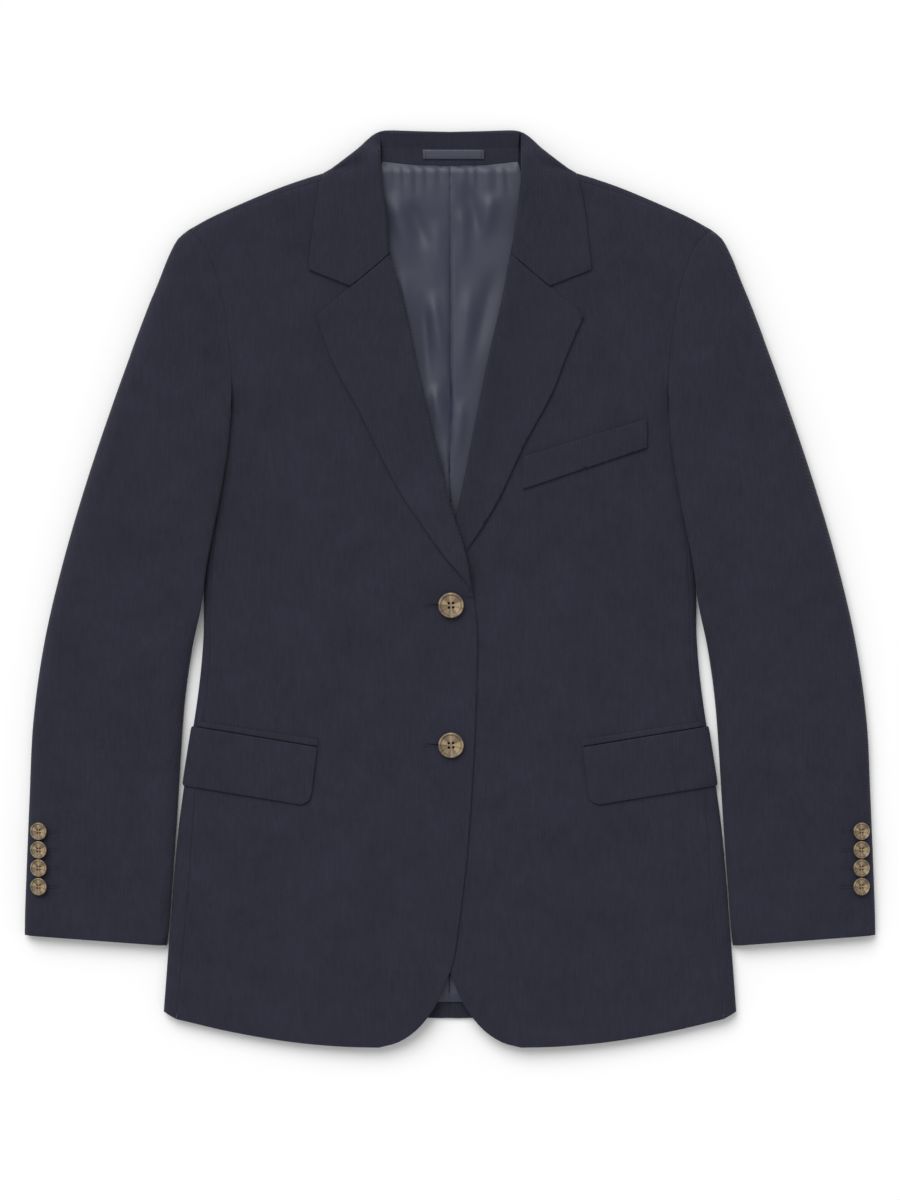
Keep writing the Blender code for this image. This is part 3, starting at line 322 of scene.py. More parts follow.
def straight(*points, step=EDGE_STEP):
    """A polyline that keeps its corners."""
    runs = [steps_along([a, b], step) for a, b in zip(points, points[1:])]
    return np.vstack([run[:-1] for run in runs] + [runs[-1][-1:]])


def distance(x, y, line):
    """How far each place is from a polyline."""
    place = np.column_stack([np.ravel(x), np.ravel(y)]).astype(float)
    nearest = np.full(len(place), np.inf)
    for a, b in zip(line, line[1:]):
        run = b - a
        share = np.clip((place - a) @ run / (run @ run), 0, 1)
        nearest = np.minimum(nearest, np.hypot(*(place - a - share[:, None] * run).T))
    return nearest.reshape(np.shape(x))


def inside(x, y, outline):
    """Which places lie inside a closed outline."""
    found = np.zeros(len(x), bool)
    for (ax, ay), (bx, by) in zip(outline, np.roll(outline, -1, axis=0)):
        crosses = (ay > y) != (by > y)
        found ^= crosses & (x < ax + (y - ay) * (bx - ax) / (by - ay + 1e-12))
    return found


def moved(line, amount):
    """The line moved sideways, to the left of its direction where the amount is positive."""
    run = np.gradient(np.asarray(line, float), axis=0)
    across = np.column_stack([-run[:, 1], run[:, 0]]) / np.hypot(*run.T)[:, None]
    return line + across * np.reshape(amount, (-1, 1))


def mirrored(line, side):
    return np.asarray(line, float) * (side, 1)


def part_of(line, low, high):
    """The stretch of a line whose Y lies between two values, with its ends cut there."""
    fine = steps_along(line, 0.5)
    return fine[(fine[:, 1] >= low) & (fine[:, 1] <= high)]


# The edges that heights are measured from, all on the wearer's left.
SHOULDER = curve(SHOULDER_EDGE)
SIDE_FOLD = curve(SIDE_EDGE)
OUTER_FOLD = curve(SLEEVE_OUTER)
INNER_FOLD = curve(SLEEVE_INNER)
SLEEVE_CAP = part_of(curve(SLEEVE_OUTER, 8), 228, 304)
BODY_RIM = np.vstack([SHOULDER, SLEEVE_CAP, [(240, 150)], SIDE_FOLD])
SEAM_TOP = part_of(curve(FRONT_ARMHOLE, 5), 185, 305)
ROLLS = {1: curve(ROLL_LEFT, 5), -1: mirrored(curve(ROLL_RIGHT, 5), -1)}
HALF_FOLD = curve(COLLAR_FOLD, 4)
RIM_BEYOND = [(152, 341), (125, 350.4)]
FOLD_AT_NECK = np.vstack([HALF_FOLD, mirrored(HALF_FOLD, -1)[-2::-1]])
COLLAR_RIM = np.vstack([RIM_BEYOND, FOLD_AT_NECK, mirrored(RIM_BEYOND, -1)[::-1]])


def level(table, y):
    """A height that changes smoothly along the garment."""
    places, heights = np.array(table, float).T
    return np.interp(y, places, heights)


def fall_edge(x):
    """The lower edge of the collar's fall, behind the neck."""
    return FALL_CENTRE_Y + FALL_RISE * (np.abs(x) / FALL_HALF_WIDTH) ** 2.5


def back_lift(x, y):
    """How far the back is held off the ground by the collar's fall."""
    return FALL_SPACE * smooth((y - fall_edge(x) + LIFT_START) / (LIFT_START - LIFT_END))


def body_middle(y):
    return mix(SIDE_MIDDLE, SHOULDER_MIDDLE, smooth((y - 95) / 130))


def body_top(x, y, out=0.0):
    """The fronts' outer surface, or one that lies a distance out from it and wraps its fold."""
    x = np.abs(x)
    side = smooth((x - 60) / 140) * (1 - smooth((y - 120) / 140))
    full = level(BODY_HEIGHTS, y) - SIDE_DROP * side
    beyond = (x > np.interp(-y, -SIDE_FOLD[:, 1], SIDE_FOLD[:, 0])) & (y < UNDERARM[1])
    reach = np.where(beyond, -1, 1) * distance(x, y, BODY_RIM)
    return mix(body_middle(y), full + out, rounded((reach + out) / (TOP_ROUND + out)))


def body_under(x, y):
    lift = back_lift(x, y)
    return mix(body_middle(y), lift, rounded(distance(np.abs(x), y, BODY_RIM) / UNDER_ROUND))


def overlap_lift(x, y):
    """How far the right front is raised where it lies on the left front and on its lapel."""
    on_front = smooth((x - LIFTED_FROM) / LIFT_RUN) * (1 - smooth((y - 60) / 60))
    on_lapel = smooth((x + 40) / 25) * smooth((y + 14) / 22) * (1 - smooth((y - 66) / 34))
    return (CLOTH + LAYER_GAP) * on_front + LAPEL_SPACE * on_lapel


def front_top(side):
    """The outer surface of one front."""
    if side > 0:
        return body_top
    return lambda x, y, out=0.0: body_top(x, y, out) + overlap_lift(x, y)


def turned_top(side):
    """The outer surface of a lapel or collar leaf, which swells towards its roll line."""
    def height(x, y):
        merged = smooth((y - (LAPEL_END_LEFT if side > 0 else LAPEL_END_RIGHT)) / LAPEL_MERGE)
        front = front_top(side)(x, y, (TURNED_GAP + TURNED) * merged)
        near = 1 - smooth(distance(x, y, ROLLS[side]) / LAPEL_SWELL_RUN)
        top = front + LAPEL_ROLL * near * mix(0.5, 1, smooth((y - 40) / 60)) * merged
        return mix(top, COLLAR_BACK_HEIGHT, smooth((y - 362) / 22))
    return height


def roll_under(side):
    """The under side of the cloth at a roll line, level with the front's inner surface."""
    def height(x, y):
        low = front_top(side)(x, y) - CLOTH
        return mix(low, ROLL_UNDER_NECK, smooth((y - 345) / 25))
    return height


def lapel_top(side):
    def height(x, y):
        top = turned_top(side)(x, y)
        low = roll_under(side)(x, y)
        return mix((top + low) / 2, top, rounded(distance(x, y, ROLLS[side]) / ROLL_ROUND))
    return height


def lapel_under(side):
    def height(x, y):
        top = turned_top(side)(x, y)
        low = roll_under(side)(x, y)
        return mix((top + low) / 2, low, rounded(distance(x, y, ROLLS[side]) / ROLL_ROUND))
    return height


def collar_top(x, y):
    left = lapel_top(1)(np.maximum(x, 0), y)
    right = lapel_top(-1)(np.minimum(x, 0), y)
    leaf = np.where(x > 0, left, right)
    return mix(COLLAR_MIDDLE, leaf, rounded(distance(x, y, COLLAR_RIM) / COLLAR_ROUND))


def collar_under(x, y):
    return mix(COLLAR_MIDDLE, 0, rounded(distance(x, y, COLLAR_RIM) / COLLAR_UNDER_ROUND))


def sleeve_middle(x, y):
    """The height of the sleeve's folds: the inner one lies on the body from the underarm to the waist."""
    lifted = smooth((y + 70) / 50)
    outer = body_middle(y)
    inner = 4.5 + SLEEVE_LIFT * lifted
    to_outer = distance(x, y, OUTER_FOLD)
    to_inner = distance(x, y, INNER_FOLD)
    return mix(outer, inner, to_outer / (to_outer + to_inner + 1e-9))


def sleeve_shape(x, y, reach):
    outer = rounded(distance(x, y, OUTER_FOLD) / reach)
    inner = rounded(distance(x, y, INNER_FOLD) / reach)
    return outer * inner


def sleeve_top(x, y):
    x = np.abs(x)
    own = mix(sleeve_middle(x, y), level(SLEEVE_HEIGHTS, y), sleeve_shape(x, y, TOP_ROUND))
    return mix(body_top(x, y), own, smooth(distance(x, y, SEAM_TOP) / SLEEVE_BLEND))


def sleeve_rest(x, y):
    """What the sleeve's under side lies on: the ground, and the body's side fold near the armpit."""
    fold_x = np.interp(-y, -SIDE_FOLD[:, 1], SIDE_FOLD[:, 0])
    inner = np.where(y < CLIMB_Y[0], fold_x + 2, np.interp(y, CLIMB_Y, CLIMB_INNER))
    outer = np.where(y < CLIMB_Y[0], fold_x + 14, np.interp(y, CLIMB_Y, CLIMB_OUTER))
    on_body = 1 - smooth((x - inner) / (outer - inner))
    return (body_top(x - 3, y) + 1) * on_body * smooth((y + 70) / 50)


def sleeve_under(x, y):
    x = np.abs(x)
    rest = sleeve_rest(x, y)
    shape = sleeve_shape(x, y, UNDER_ROUND)
    edge = mix(body_top(x, y), sleeve_middle(x, y), smooth(distance(x, y, SEAM_TOP) / SLEEVE_BLEND))
    return mix(edge, rest, shape)


def lining_top(x, y):
    on_hem = smooth((LINING_HELD + HEM_RUN - y) / HEM_RUN)
    return back_lift(x, y) + CLOTH + LINING_GAP + SATIN + (FACING + LAYER_GAP) * on_hem


def facing_top(x, y):
    return back_lift(x, y) + CLOTH + LAYER_GAP + FACING


def stand_top(x, y):
    return mix(facing_top(x, 374), COLLAR_BACK_HEIGHT - 0.2, smooth((y - 374) / 11.5))


def loop_top(x, y):
    return facing_top(x, y) + LAYER_GAP + SATIN


def back_hem_top(x, y):
    return back_lift(x, y) + CLOTH + LAYER_GAP + FACING


def trim_top(thickness):
    """A piece that lies on the fronts and wraps the side fold with them."""
    return lambda x, y: body_top(x, y, TURNED_GAP + thickness)


def inset(runs):
    """A closed outline from runs of points, each run moved inwards by its own amount."""
    points = np.vstack([run[:-1] for run, amount in runs])
    amounts = np.concatenate([np.full(len(run) - 1, amount) for run, amount in runs])
    x, y = points.T
    turn = np.sum(x * np.roll(y, -1) - y * np.roll(x, -1))
    if turn < 0:
        points = points[::-1]
        amounts = np.roll(amounts[::-1], -1)
    run = np.roll(points, -1, axis=0) - points
    run /= np.hypot(*run.T)[:, None]
    inwards = np.column_stack([-run[:, 1], run[:, 0]])
    result = []
    for i, point in enumerate(points):
        before, after = inwards[i - 1], inwards[i]
        cross = before[0] * after[1] - before[1] * after[0]
        if abs(cross) < STRAIGHT_ON:
            result.append(point + after * (amounts[i - 1] + amounts[i]) / 2)
            continue
        x = (amounts[i - 1] * after[1] - amounts[i] * before[1]) / cross
        y = (amounts[i] * before[0] - amounts[i - 1] * after[0]) / cross
        result.append(point + (x, y))
    return np.array(result)


def creases(x, y, table):
    """The height that soft troughs and ridges add."""
    total = np.zeros(np.shape(x))
    for ax, ay, bx, by, width, height in table:
        length = math.hypot(bx - ax, by - ay)
        run = ((x - ax) * (bx - ax) + (y - ay) * (by - ay)) / length
        away = ((x - ax) * (ay - by) + (y - ay) * (bx - ax)) / length
        fade = smooth(np.minimum(run + width, (length - run) * 0.6 + width) / (length * 0.3 + width))
        total += height * np.exp(-(away / width) ** 2) * fade
    return total


def relief(name, x, y):
    """What a piece's own folds add to its laid-out height."""
    if name.startswith("top_sleeve"):
        near = smooth(distance(np.abs(x), y, SEAM_TOP) / 12)
        return creases(np.abs(x) + 3 * np.sign(x), y, SLEEVE_CREASES) * near
    if name.startswith("lining"):
        loose = smooth((360 - y) / 6) * smooth((y - LINING_HEM_Y) / 6)
        return (creases(x, y, LINING_FOLDS) + LINING_LOOSE) * loose
    if name.startswith(("front", "side")):
        return creases(x, y, BODY_CREASES) * BODY_CREASE_SHARE
    return np.zeros(np.shape(x))


def rows_near(line, reach):
    """Rows of points along a folded edge, close together where the rounding is tight."""
    line = steps_along(line, GRID)
    rows = [abs(reach) * share for share in ROUND_ROWS if abs(reach) * share > 0.3]
    return [moved(line, sign * row) for row in rows for sign in (1, -1)]


def scattered(low, high, grid):
    """Staggered points over a rectangle."""
    across = np.arange(low[0] + grid / 2, high[0], grid)
    along = np.arange(low[1] + grid / 2, high[1], grid * 0.87)
    x, y = np.meshgrid(across, along)
    x = x + grid / 2 * (np.arange(len(along)) % 2)[:, None]
    return np.column_stack([x.ravel(), y.ravel()])


def fill(outline, folds, grid, extra, fine):
    """Triangles over a plan outline, with linked rows near its folds, rows near its edges and a grid."""
    low, high = outline.min(0), outline.max(0)
    spread = scattered(low, high, grid)
    for left, bottom, right, top, step in fine:
        x, y = spread.T
        spread = spread[(x < left) | (x > right) | (y < bottom) | (y > top)]
        spread = np.vstack([spread, scattered((left, bottom), (right, top), step)])
        grid = step
    loop = np.vstack([outline, outline[:1]])
    keep = inside(*spread.T, outline) & (distance(*spread.T, loop) > max(grid * 0.45, EDGE_ROWS[-1] + 1))
    chosen, links, count = [outline], [], len(outline)
    for line, reach in folds:
        keep &= distance(*spread.T, line) > abs(reach) + grid * 0.3
        for row in rows_near(line, reach):
            fits = inside(*row.T, outline) & (distance(*row.T, loop) > CLEAR_OF_CUT)
            numbers = (np.cumsum(fits) - 1 + count).tolist()
            links += [pair for pair, both in zip(zip(numbers, numbers[1:]), fits[1:] & fits[:-1]) if both]
            chosen.append(row[fits])
            count += int(fits.sum())
    for rows, amount in extra:
        fits = inside(*rows.T, outline) & (distance(*rows.T, loop) > amount * 0.85)
        for line, reach in folds:
            fits &= distance(*rows.T, line) > CLEAR_OF_FOLD
        chosen.append(rows[fits])
    places = [tuple(p) for p in np.vstack([*chosen, spread[keep]])]
    found = delaunay_2d_cdt(places, links, [list(range(len(outline)))], 1, 1e-5)
    return np.array([tuple(p) for p in found[0]]), found[2]


def patch(height, runs, faces_up=True, folds=(), grid=GRID, fine=()):
    """One stretch of cloth: its surface's height, its outline's runs, and its folds with their reach."""
    return height, runs, faces_up, folds, grid, fine


def edge_dip(places, runs):
    """How far the cloth dips at each place because a cut edge or seam is near, fading out at folds."""
    cuts = [line for line, amount, folded in runs if not folded]
    kept = [line for line, amount, folded in runs if folded]
    away = np.min([distance(*places.T, line) for line in cuts] + [np.full(len(places), 99.0)], axis=0)
    dip = EDGE_DROP * (1 - rounded(away / EDGE_REACH))
    for line in kept:
        dip = dip * smooth(distance(*places.T, line) / 5)
    return dip


def softened(outline, runs):
    """The outline with its free corners rounded, as a turned-out cloth corner is."""
    held = [line for line, amount, folded in runs if folded or amount]
    result = []
    for before, corner, after in zip(np.roll(outline, 1, axis=0), outline, np.roll(outline, -1, axis=0)):
        back, on = before - corner, after - corner
        turn = math.acos(np.clip(-(back @ on) / (np.hypot(*back) * np.hypot(*on)), -1, 1))
        apart = min([distance(*corner[:, None], line)[0] for line in held], default=9)
        if turn < CORNER_TURN or apart < 1:
            result.append(corner)
            continue
        start = corner + back * min(0.45, CORNER_ROUND / np.hypot(*back))
        end = corner + on * min(0.45, CORNER_ROUND / np.hypot(*on))
        for t in (0, 0.25, 0.5, 0.75, 1):
            result.append(start * (1 - t) ** 2 + corner * 2 * t * (1 - t) + end * t * t)
    return np.array(result)


def cloth(name, thickness, finish, patches, side=1):
    """A panel: its patches are joined along shared folds and thickened inwards."""
    mesh = bmesh.new()
    for height, runs, faces_up, folds, grid, fine in patches:
        outline = softened(inset([run[:2] for run in runs]), runs)
        extra = [(inset([(line, amount + (0 if folded else row)) for line, amount, folded in runs]), row)
                 for row in EDGE_ROWS]
        flat, triangles = fill(outline, folds, grid, extra, fine)
        places = mirrored(flat, side)
        z = height(*places.T) + relief(name, *places.T) * faces_up
        z = z + edge_dip(flat, runs) * (-1 if faces_up else 1)
        points = [mesh.verts.new((x * MM, y * MM, h * MM)) for (x, y), h in zip(places, z)]
        for triangle in triangles:
            corners = [points[i] for i in triangle]
            mesh.faces.new(corners if faces_up == (side > 0) else corners[::-1])
    bmesh.ops.remove_doubles(mesh, verts=mesh.verts, dist=WELD * MM)
    return thickened(name, mesh, thickness, finish)


def wall_directions(mesh):
    """Where each point's inner twin lies for a wall of 1: square to the cloth, and upright at cut edges."""
    mesh.normal_update()
    result = []
    for point in mesh.verts:
        way = point.normal.copy()
        cuts = [run.verts[1].co - run.verts[0].co for run in point.link_edges if run.is_boundary]
        across = [Vector((-run.y, run.x, 0)) for run in cuts if run.xy.length > run.length * 0.3]
        if across:
            total = across[0].normalized()
            for other in across[1:]:
                total += other.normalized() * (1 if other.dot(total) > 0 else -1)
            total.normalize()
            way -= total * way.dot(total)
        nearest = min(way.dot(face.normal) / way.length for face in point.link_faces)
        result.append(way.normalized() / max(nearest, LEAST_SLANT))
    return result


def thickened(name, mesh, thickness, finish):
    """A closed wall: the outer surface, the same moved inwards, and a strip along every cut edge."""
    ways = wall_directions(mesh)
    outer = list(mesh.verts)
    inner = [mesh.verts.new(point.co - way * thickness * MM) for point, way in zip(outer, ways)]
    twin = dict(zip(outer, inner))
    cuts = [run for run in mesh.edges if run.is_boundary]
    for face in list(mesh.faces):
        mesh.faces.new([twin[point] for point in reversed(face.verts)])
    for run in cuts:
        corner = run.link_loops[0]
        a, b = corner.vert, corner.link_loop_next.vert
        mesh.faces.new((b, a, twin[a], twin[b]))
    for face in mesh.faces:
        face.smooth = True
    data = bpy.data.meshes.new(name + "_cloth")
    mesh.to_mesh(data)
    mesh.free()
    data.set_sharp_from_angle(angle=SHARP_ANGLE)
    piece = bpy.data.objects.new(name + "_cloth", data)
    bpy.context.scene.collection.objects.link(piece)
    data.materials.append(material(finish))
    joined(piece, name)
    kind = name.replace("_left", "").replace("_right", "")
    sides = ("left", "right") if kind == name else (name.rsplit("_", 1)[-1],)
    below = list(dict.fromkeys(RESTS_ON[kind].replace("SIDE", word) for word in sides))
    return piece


def joined(piece, node=None):
    """The piece moves with the jacket and stands for its CAD node."""
    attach(piece, "root")
    if node:
        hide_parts(node)


def seam(line):
    """An edge sewn to a neighbour, so half the seam's gap is left beside it."""
    return line, SEAM_GAP / 2, False


def fold(line):
    """An edge where the cloth turns under and goes on in another patch."""
    return line, 0.0, True


def edge(line):
    """A free edge."""
    return line, 0.0, False


def smooth_join(line):
    """An edge pressed so flat against its neighbour that the two look like one cloth."""
    return line, 0.04, True


def gorge_seam(line):
    """The seam between collar and lapel, a little more open because it crosses the roll."""
    return line, GORGE_GAP / 2, False


def shoulder_seam():
    """The seam in front of the shoulder edge, nearer to it at the tip."""
    back = np.linspace(SEAM_AT_NECK, SEAM_AT_TIP, len(SHOULDER))
    return moved(SHOULDER, -back)


def corner_at_tip():
    """Where the shoulder seam meets the armhole seam."""
    armhole = curve(FRONT_ARMHOLE, 5)
    near = distance(*armhole.T, SHOULDER) > SEAM_AT_TIP + 0.3
    return armhole[near][-1]


def between(line, low, high):
    """The stretch of a line between two places along Y, upwards, with its own points kept."""
    line = line[np.argsort(line[:, 1])]
    ends = [(np.interp(y, line[:, 1], line[:, 0]), y) for y in (low, high)]
    kept = line[(line[:, 1] > low + 0.5) & (line[:, 1] < high - 0.5)]
    return np.vstack([ends[:1], kept, ends[1:]])


def back_armhole(low=UNDERARM[1], high=SHOULDER_TIP[1]):
    """The back armhole seam upwards, in even steps, between two places along Y."""
    line = steps_along(curve(BACK_ARMHOLE, 2), EDGE_STEP)
    return between(line, low, high)


def back_side_seam():
    """The back side seam downwards, from its place on the armhole."""
    seam_line = curve(BACK_SIDE_SEAM)
    seam_line[0] = back_armhole(BACK_SIDE_SEAM[0][1])[0]
    return seam_line


def front_armhole():
    """The front armhole seam upwards, in even steps."""
    return steps_along(curve(FRONT_ARMHOLE, 2), EDGE_STEP)


def shoulder_join():
    """The seam between front and back, from the neck to the armhole."""
    line, tip = shoulder_seam(), corner_at_tip()
    return np.vstack([line[line[:, 0] < tip[0] - 8], [tip]])


def roll_runs(side):
    """The roll line upwards as two runs, for lapel and collar, with the strips' other edges."""
    roll = mirrored(ROLLS[side], side)[::-1]
    end = LAPEL_END_LEFT if side > 0 else LAPEL_END_RIGHT
    lapel = steps_along(part_of(roll, end, GORGE_Y), EDGE_STEP)
    leaf = steps_along(part_of(roll, GORGE_Y, ROLL_STRIP_TOP), EDGE_STEP)
    leaf[0] = lapel[-1]
    gorge = np.subtract(NOTCH, leaf[0])
    gorge /= np.hypot(*gorge)
    run = (leaf[1] - lapel[-2]) / np.hypot(*(leaf[1] - lapel[-2]))
    corner = leaf[0] + gorge * ROLL_STRIP / abs(run[0] * gorge[1] - run[1] * gorge[0])
    beside_lapel, beside_leaf = moved(lapel, -ROLL_STRIP), moved(leaf, -ROLL_STRIP)
    beside_lapel[-1] = beside_leaf[0] = corner
    return lapel, leaf, beside_lapel, beside_leaf


def make_fronts():
    join = shoulder_join()
    armhole = front_armhole()
    armhole = np.vstack([armhole[armhole[:, 1] < join[-1, 1] - 1.5], join[-1:]])
    under = straight(tuple(armhole[0]), FRONT_SIDE_SEAM[0])
    hem = np.vstack([curve(FRONT_HEM), curve(CUTAWAY)[1:], curve(FRONT_EDGE)[1:]])
    rims = [(SHOULDER, TOP_ROUND), (SIDE_FOLD, TOP_ROUND)]
    for side, name in ((1, "front_left"), (-1, "front_right")):
        lapel, _, beside_lapel, beside_leaf = roll_runs(side)
        inner = np.vstack([beside_lapel, beside_leaf[1:][beside_leaf[1:, 1] < join[0, 1] - 8], join[:1]])
        front_hem = hem if side > 0 else np.vstack([hem[:-1], lapel[:1]])
        close = straight(tuple(front_hem[-1]), tuple(inner[0]))
        runs = [seam(curve(FRONT_SIDE_SEAM)), edge(front_hem), smooth_join(close), smooth_join(inner),
                seam(join), seam(armhole[::-1]), seam(under)]
        cloth(name, CLOTH, "wool", [patch(front_top(side), runs, True, rims)], side)


def make_backs():
    for side, name in ((1, "back_left"), (-1, "back_right")):
        neck = curve(BACK_NECK, 20)
        centre = straight((0, 374), (0, BACK_HEM_Y))
        hem = straight((0, BACK_HEM_Y), BACK_SIDE_SEAM[-1])
        side_seam = back_side_seam()[::-1]
        armhole = back_armhole(BACK_SIDE_SEAM[0][1])
        under = [seam(centre), edge(hem), seam(side_seam), seam(armhole), fold(SHOULDER[::-1]), seam(neck)]
        join = shoulder_join()
        strip = [fold(SHOULDER), seam(np.vstack([SHOULDER[-1], join[-1]])), seam(join[::-1]),
                 seam(np.vstack([join[0], SHOULDER[0]]))]
        rim = [(SHOULDER, UNDER_ROUND)]
        cloth(name, CLOTH, "wool", [patch(body_under, under, False, rim),
                                    patch(body_top, strip, True, [(SHOULDER, SEAM_AT_NECK)])], side)


def make_sides():
    for side, name in ((1, "side_left"), (-1, "side_right")):
        armhole = straight(UNDERARM, FRONT_SIDE_SEAM[0])
        seam_line = curve(FRONT_SIDE_SEAM)
        hem = straight(FRONT_SIDE_SEAM[-1], SIDE_EDGE[-1])
        top = [seam(armhole), seam(seam_line), edge(hem), fold(SIDE_FOLD[::-1])]
        back_arm = back_armhole(high=BACK_SIDE_SEAM[0][1])
        under_hem = straight(BACK_SIDE_SEAM[-1], SIDE_EDGE[-1])
        under = [seam(back_arm), seam(back_side_seam()), edge(under_hem), fold(SIDE_FOLD[::-1])]
        cloth(name, CLOTH, "wool", [patch(body_top, top, True, [(SIDE_FOLD, SIDE_STRIP)]),
                                    patch(body_under, under, False, [(SIDE_FOLD, UNDER_ROUND)])], side)


def under_seams():
    """The two long seams under the sleeve: one starts at the underarm, one runs close to the outer fold."""
    inner = moved(INNER_FOLD, -UNDER_SEAM_INNER)
    inner = np.vstack([inner[inner[:, 1] < 60], [UNDERARM]])
    inner[0] = on_cuff(inner[0, 0])
    outer = moved(OUTER_FOLD, -UNDER_SEAM_OUTER)
    outer[-1] = on_cuff(outer[-1, 0])
    back = back_armhole()
    fine = steps_along(back[-6:], 0.5)
    top = fine[distance(*fine.T, OUTER_FOLD) > UNDER_SEAM_OUTER][-1]
    return inner, np.vstack([[top], outer[outer[:, 1] < top[1] - 8]])


def on_cuff(x):
    """The place on the cuff's edge at a given X."""
    (ax, ay), (bx, by) = CUFF_LINE
    return x, ay + (x - ax) * (by - ay) / (bx - ax)


def make_sleeves():
    inner, outer = under_seams()
    outer_cuff, inner_cuff = CUFF_LINE
    armhole = front_armhole()
    armhole[0] = INNER_FOLD[-1]
    back = back_armhole(high=outer[0, 1])
    rims = [(OUTER_FOLD, TOP_ROUND), (INNER_FOLD, TOP_ROUND)]
    under_rims = [(OUTER_FOLD, UNDER_ROUND), (SIDE_FOLD, UNDER_ROUND)]
    top = [fold(OUTER_FOLD), edge(straight(*CUFF_LINE)), fold(INNER_FOLD), seam(armhole)]
    inner_strip = [fold(INNER_FOLD), seam(straight(tuple(INNER_FOLD[-1]), UNDERARM)), seam(inner[::-1]),
                   edge(straight(tuple(inner[0]), inner_cuff))]
    outer_strip = [fold(OUTER_FOLD), edge(straight(outer_cuff, tuple(outer[-1]))), seam(outer[::-1]),
                   seam(back_armhole(low=outer[0, 1]))]
    under = [seam(inner), seam(back), seam(outer), edge(straight(tuple(outer[-1]), tuple(inner[0])))]
    for side, name in ((1, "left"), (-1, "right")):
        cloth("top_sleeve_" + name, CLOTH, "wool",
              [patch(sleeve_top, top, True, rims),
               patch(sleeve_under, inner_strip, False, [(INNER_FOLD, UNDER_ROUND)]),
               patch(sleeve_under, outer_strip, False, [(OUTER_FOLD, UNDER_ROUND)])], side)
        cloth("under_sleeve_" + name, CLOTH, "wool", [patch(sleeve_under, under, False, under_rims)], side)


def make_lapels():
    for side, name in ((1, "lapel_left"), (-1, "lapel_right")):
        roll, _, beside, _ = roll_runs(side)
        free = curve(LAPEL_EDGE_LEFT if side > 0 else LAPEL_EDGE_RIGHT)
        gorge = straight(tuple(roll[-1]), tuple(beside[-1]), NOTCH)
        top = [fold(roll), gorge_seam(gorge), edge(straight(NOTCH, LAPEL_TIP)), edge(free),
               smooth_join(straight(tuple(free[-1]), tuple(roll[0])))]
        strip = [fold(roll), gorge_seam(gorge[:2]), smooth_join(beside[::-1]),
                 smooth_join(straight(tuple(beside[0]), tuple(roll[0])))]
        rim = [(roll, ROLL_ROUND)]
        cloth(name, TURNED, "wool", [patch(lapel_top(side), top, True, rim, TRIM_GRID),
                                     patch(lapel_under(side), strip, False, rim, TRIM_GRID)], side)


def leaf_runs(side):
    """The collar leaf's runs on one side, each from its gorge end, in place."""
    _, roll, _, beside = roll_runs(side)
    high = straight(tuple(roll[-1]), tuple(mirrored(ROLLS[side], side)[0]))
    gorge = straight(tuple(roll[0]), tuple(beside[0]), NOTCH)
    outer = np.vstack([straight(NOTCH, COLLAR_TIP), curve(COLLAR_EDGE[::-1])[1:]])
    return [mirrored(run, side) for run in (roll, high, gorge, outer, beside)]


def make_collar():
    left_roll, left_high, left_gorge, left_outer, left_beside = leaf_runs(1)
    right_roll, right_high, right_gorge, right_outer, right_beside = leaf_runs(-1)
    inner = straight(tuple(right_high[-1]), tuple(left_high[-1]))
    top = [fold(left_roll[::-1]), gorge_seam(left_gorge), edge(left_outer), fold(FOLD_AT_NECK),
           edge(right_outer[::-1]), gorge_seam(right_gorge[::-1]), fold(right_roll), smooth_join(right_high),
           smooth_join(inner), smooth_join(left_high[::-1])]
    x = np.linspace(-FALL_HALF_WIDTH, FALL_HALF_WIDTH, 9)
    fall = [fold(FOLD_AT_NECK), edge(np.column_stack([x, fall_edge(x)]))]
    rims = [(FOLD_AT_NECK, -TOP_ROUND), (left_roll, ROLL_ROUND), (right_roll, ROLL_ROUND)]
    patches = [patch(collar_top, top, True, rims, TRIM_GRID),
               patch(collar_under, fall, False, [(FOLD_AT_NECK, COLLAR_UNDER_ROUND)], TRIM_GRID)]
    for side, roll, beside in ((1, left_roll, left_beside), (-1, right_roll, right_beside)):
        strip = [fold(roll), edge(straight(tuple(roll[-1]), tuple(beside[-1]))), seam(beside[::-1]),
                 gorge_seam(straight(tuple(beside[0]), tuple(roll[0])))]
        patches.append(patch(lapel_under(side), strip, False, [(roll, ROLL_ROUND)], TRIM_GRID))
    cloth("collar", TURNED, "wool", patches)


def make_neck():
    half, top = STAND_HALF, STAND_TOP
    stand = straight((-half, top), (half, top), (half - 1, STAND_FOOT), (1 - half, STAND_FOOT), (-half, top))
    cloth("collar_stand", TURNED, "wool", [patch(stand_top, [smooth_join(stand)])])
    high = (-FACING_HALF, STAND_FOOT), (FACING_HALF, STAND_FOOT)
    left, right = straight(high[1], FACING_LOW[0]), straight(FACING_LOW[-1], high[0])
    around = [smooth_join(straight(*high)), smooth_join(left), seam(curve(FACING_LOW)), smooth_join(right)]
    cloth("neck_facing", FACING, "wool", [patch(facing_top, around)])
    loop = straight(*LOOP, LOOP[0])
    cloth("hanger_loop", SATIN, "lining", [patch(loop_top, [seam(loop)])])


def make_linings():
    for side, name in ((1, "lining_left"), (-1, "lining_right")):
        neck = np.vstack([curve(LINING_NECK), steps_along(LINING_SHOULDER, 10)])
        hem = straight(LINING_OUTER[-1], (0, LINING_HEM_Y))
        centre = straight((0, LINING_HEM_Y), LINING_NECK[0])
        around = [seam(neck), edge(curve(LINING_OUTER)), edge(hem), seam(centre)]
        cloth(name, SATIN, "lining", [patch(lining_top, around, fine=LINING_FINE)], side)


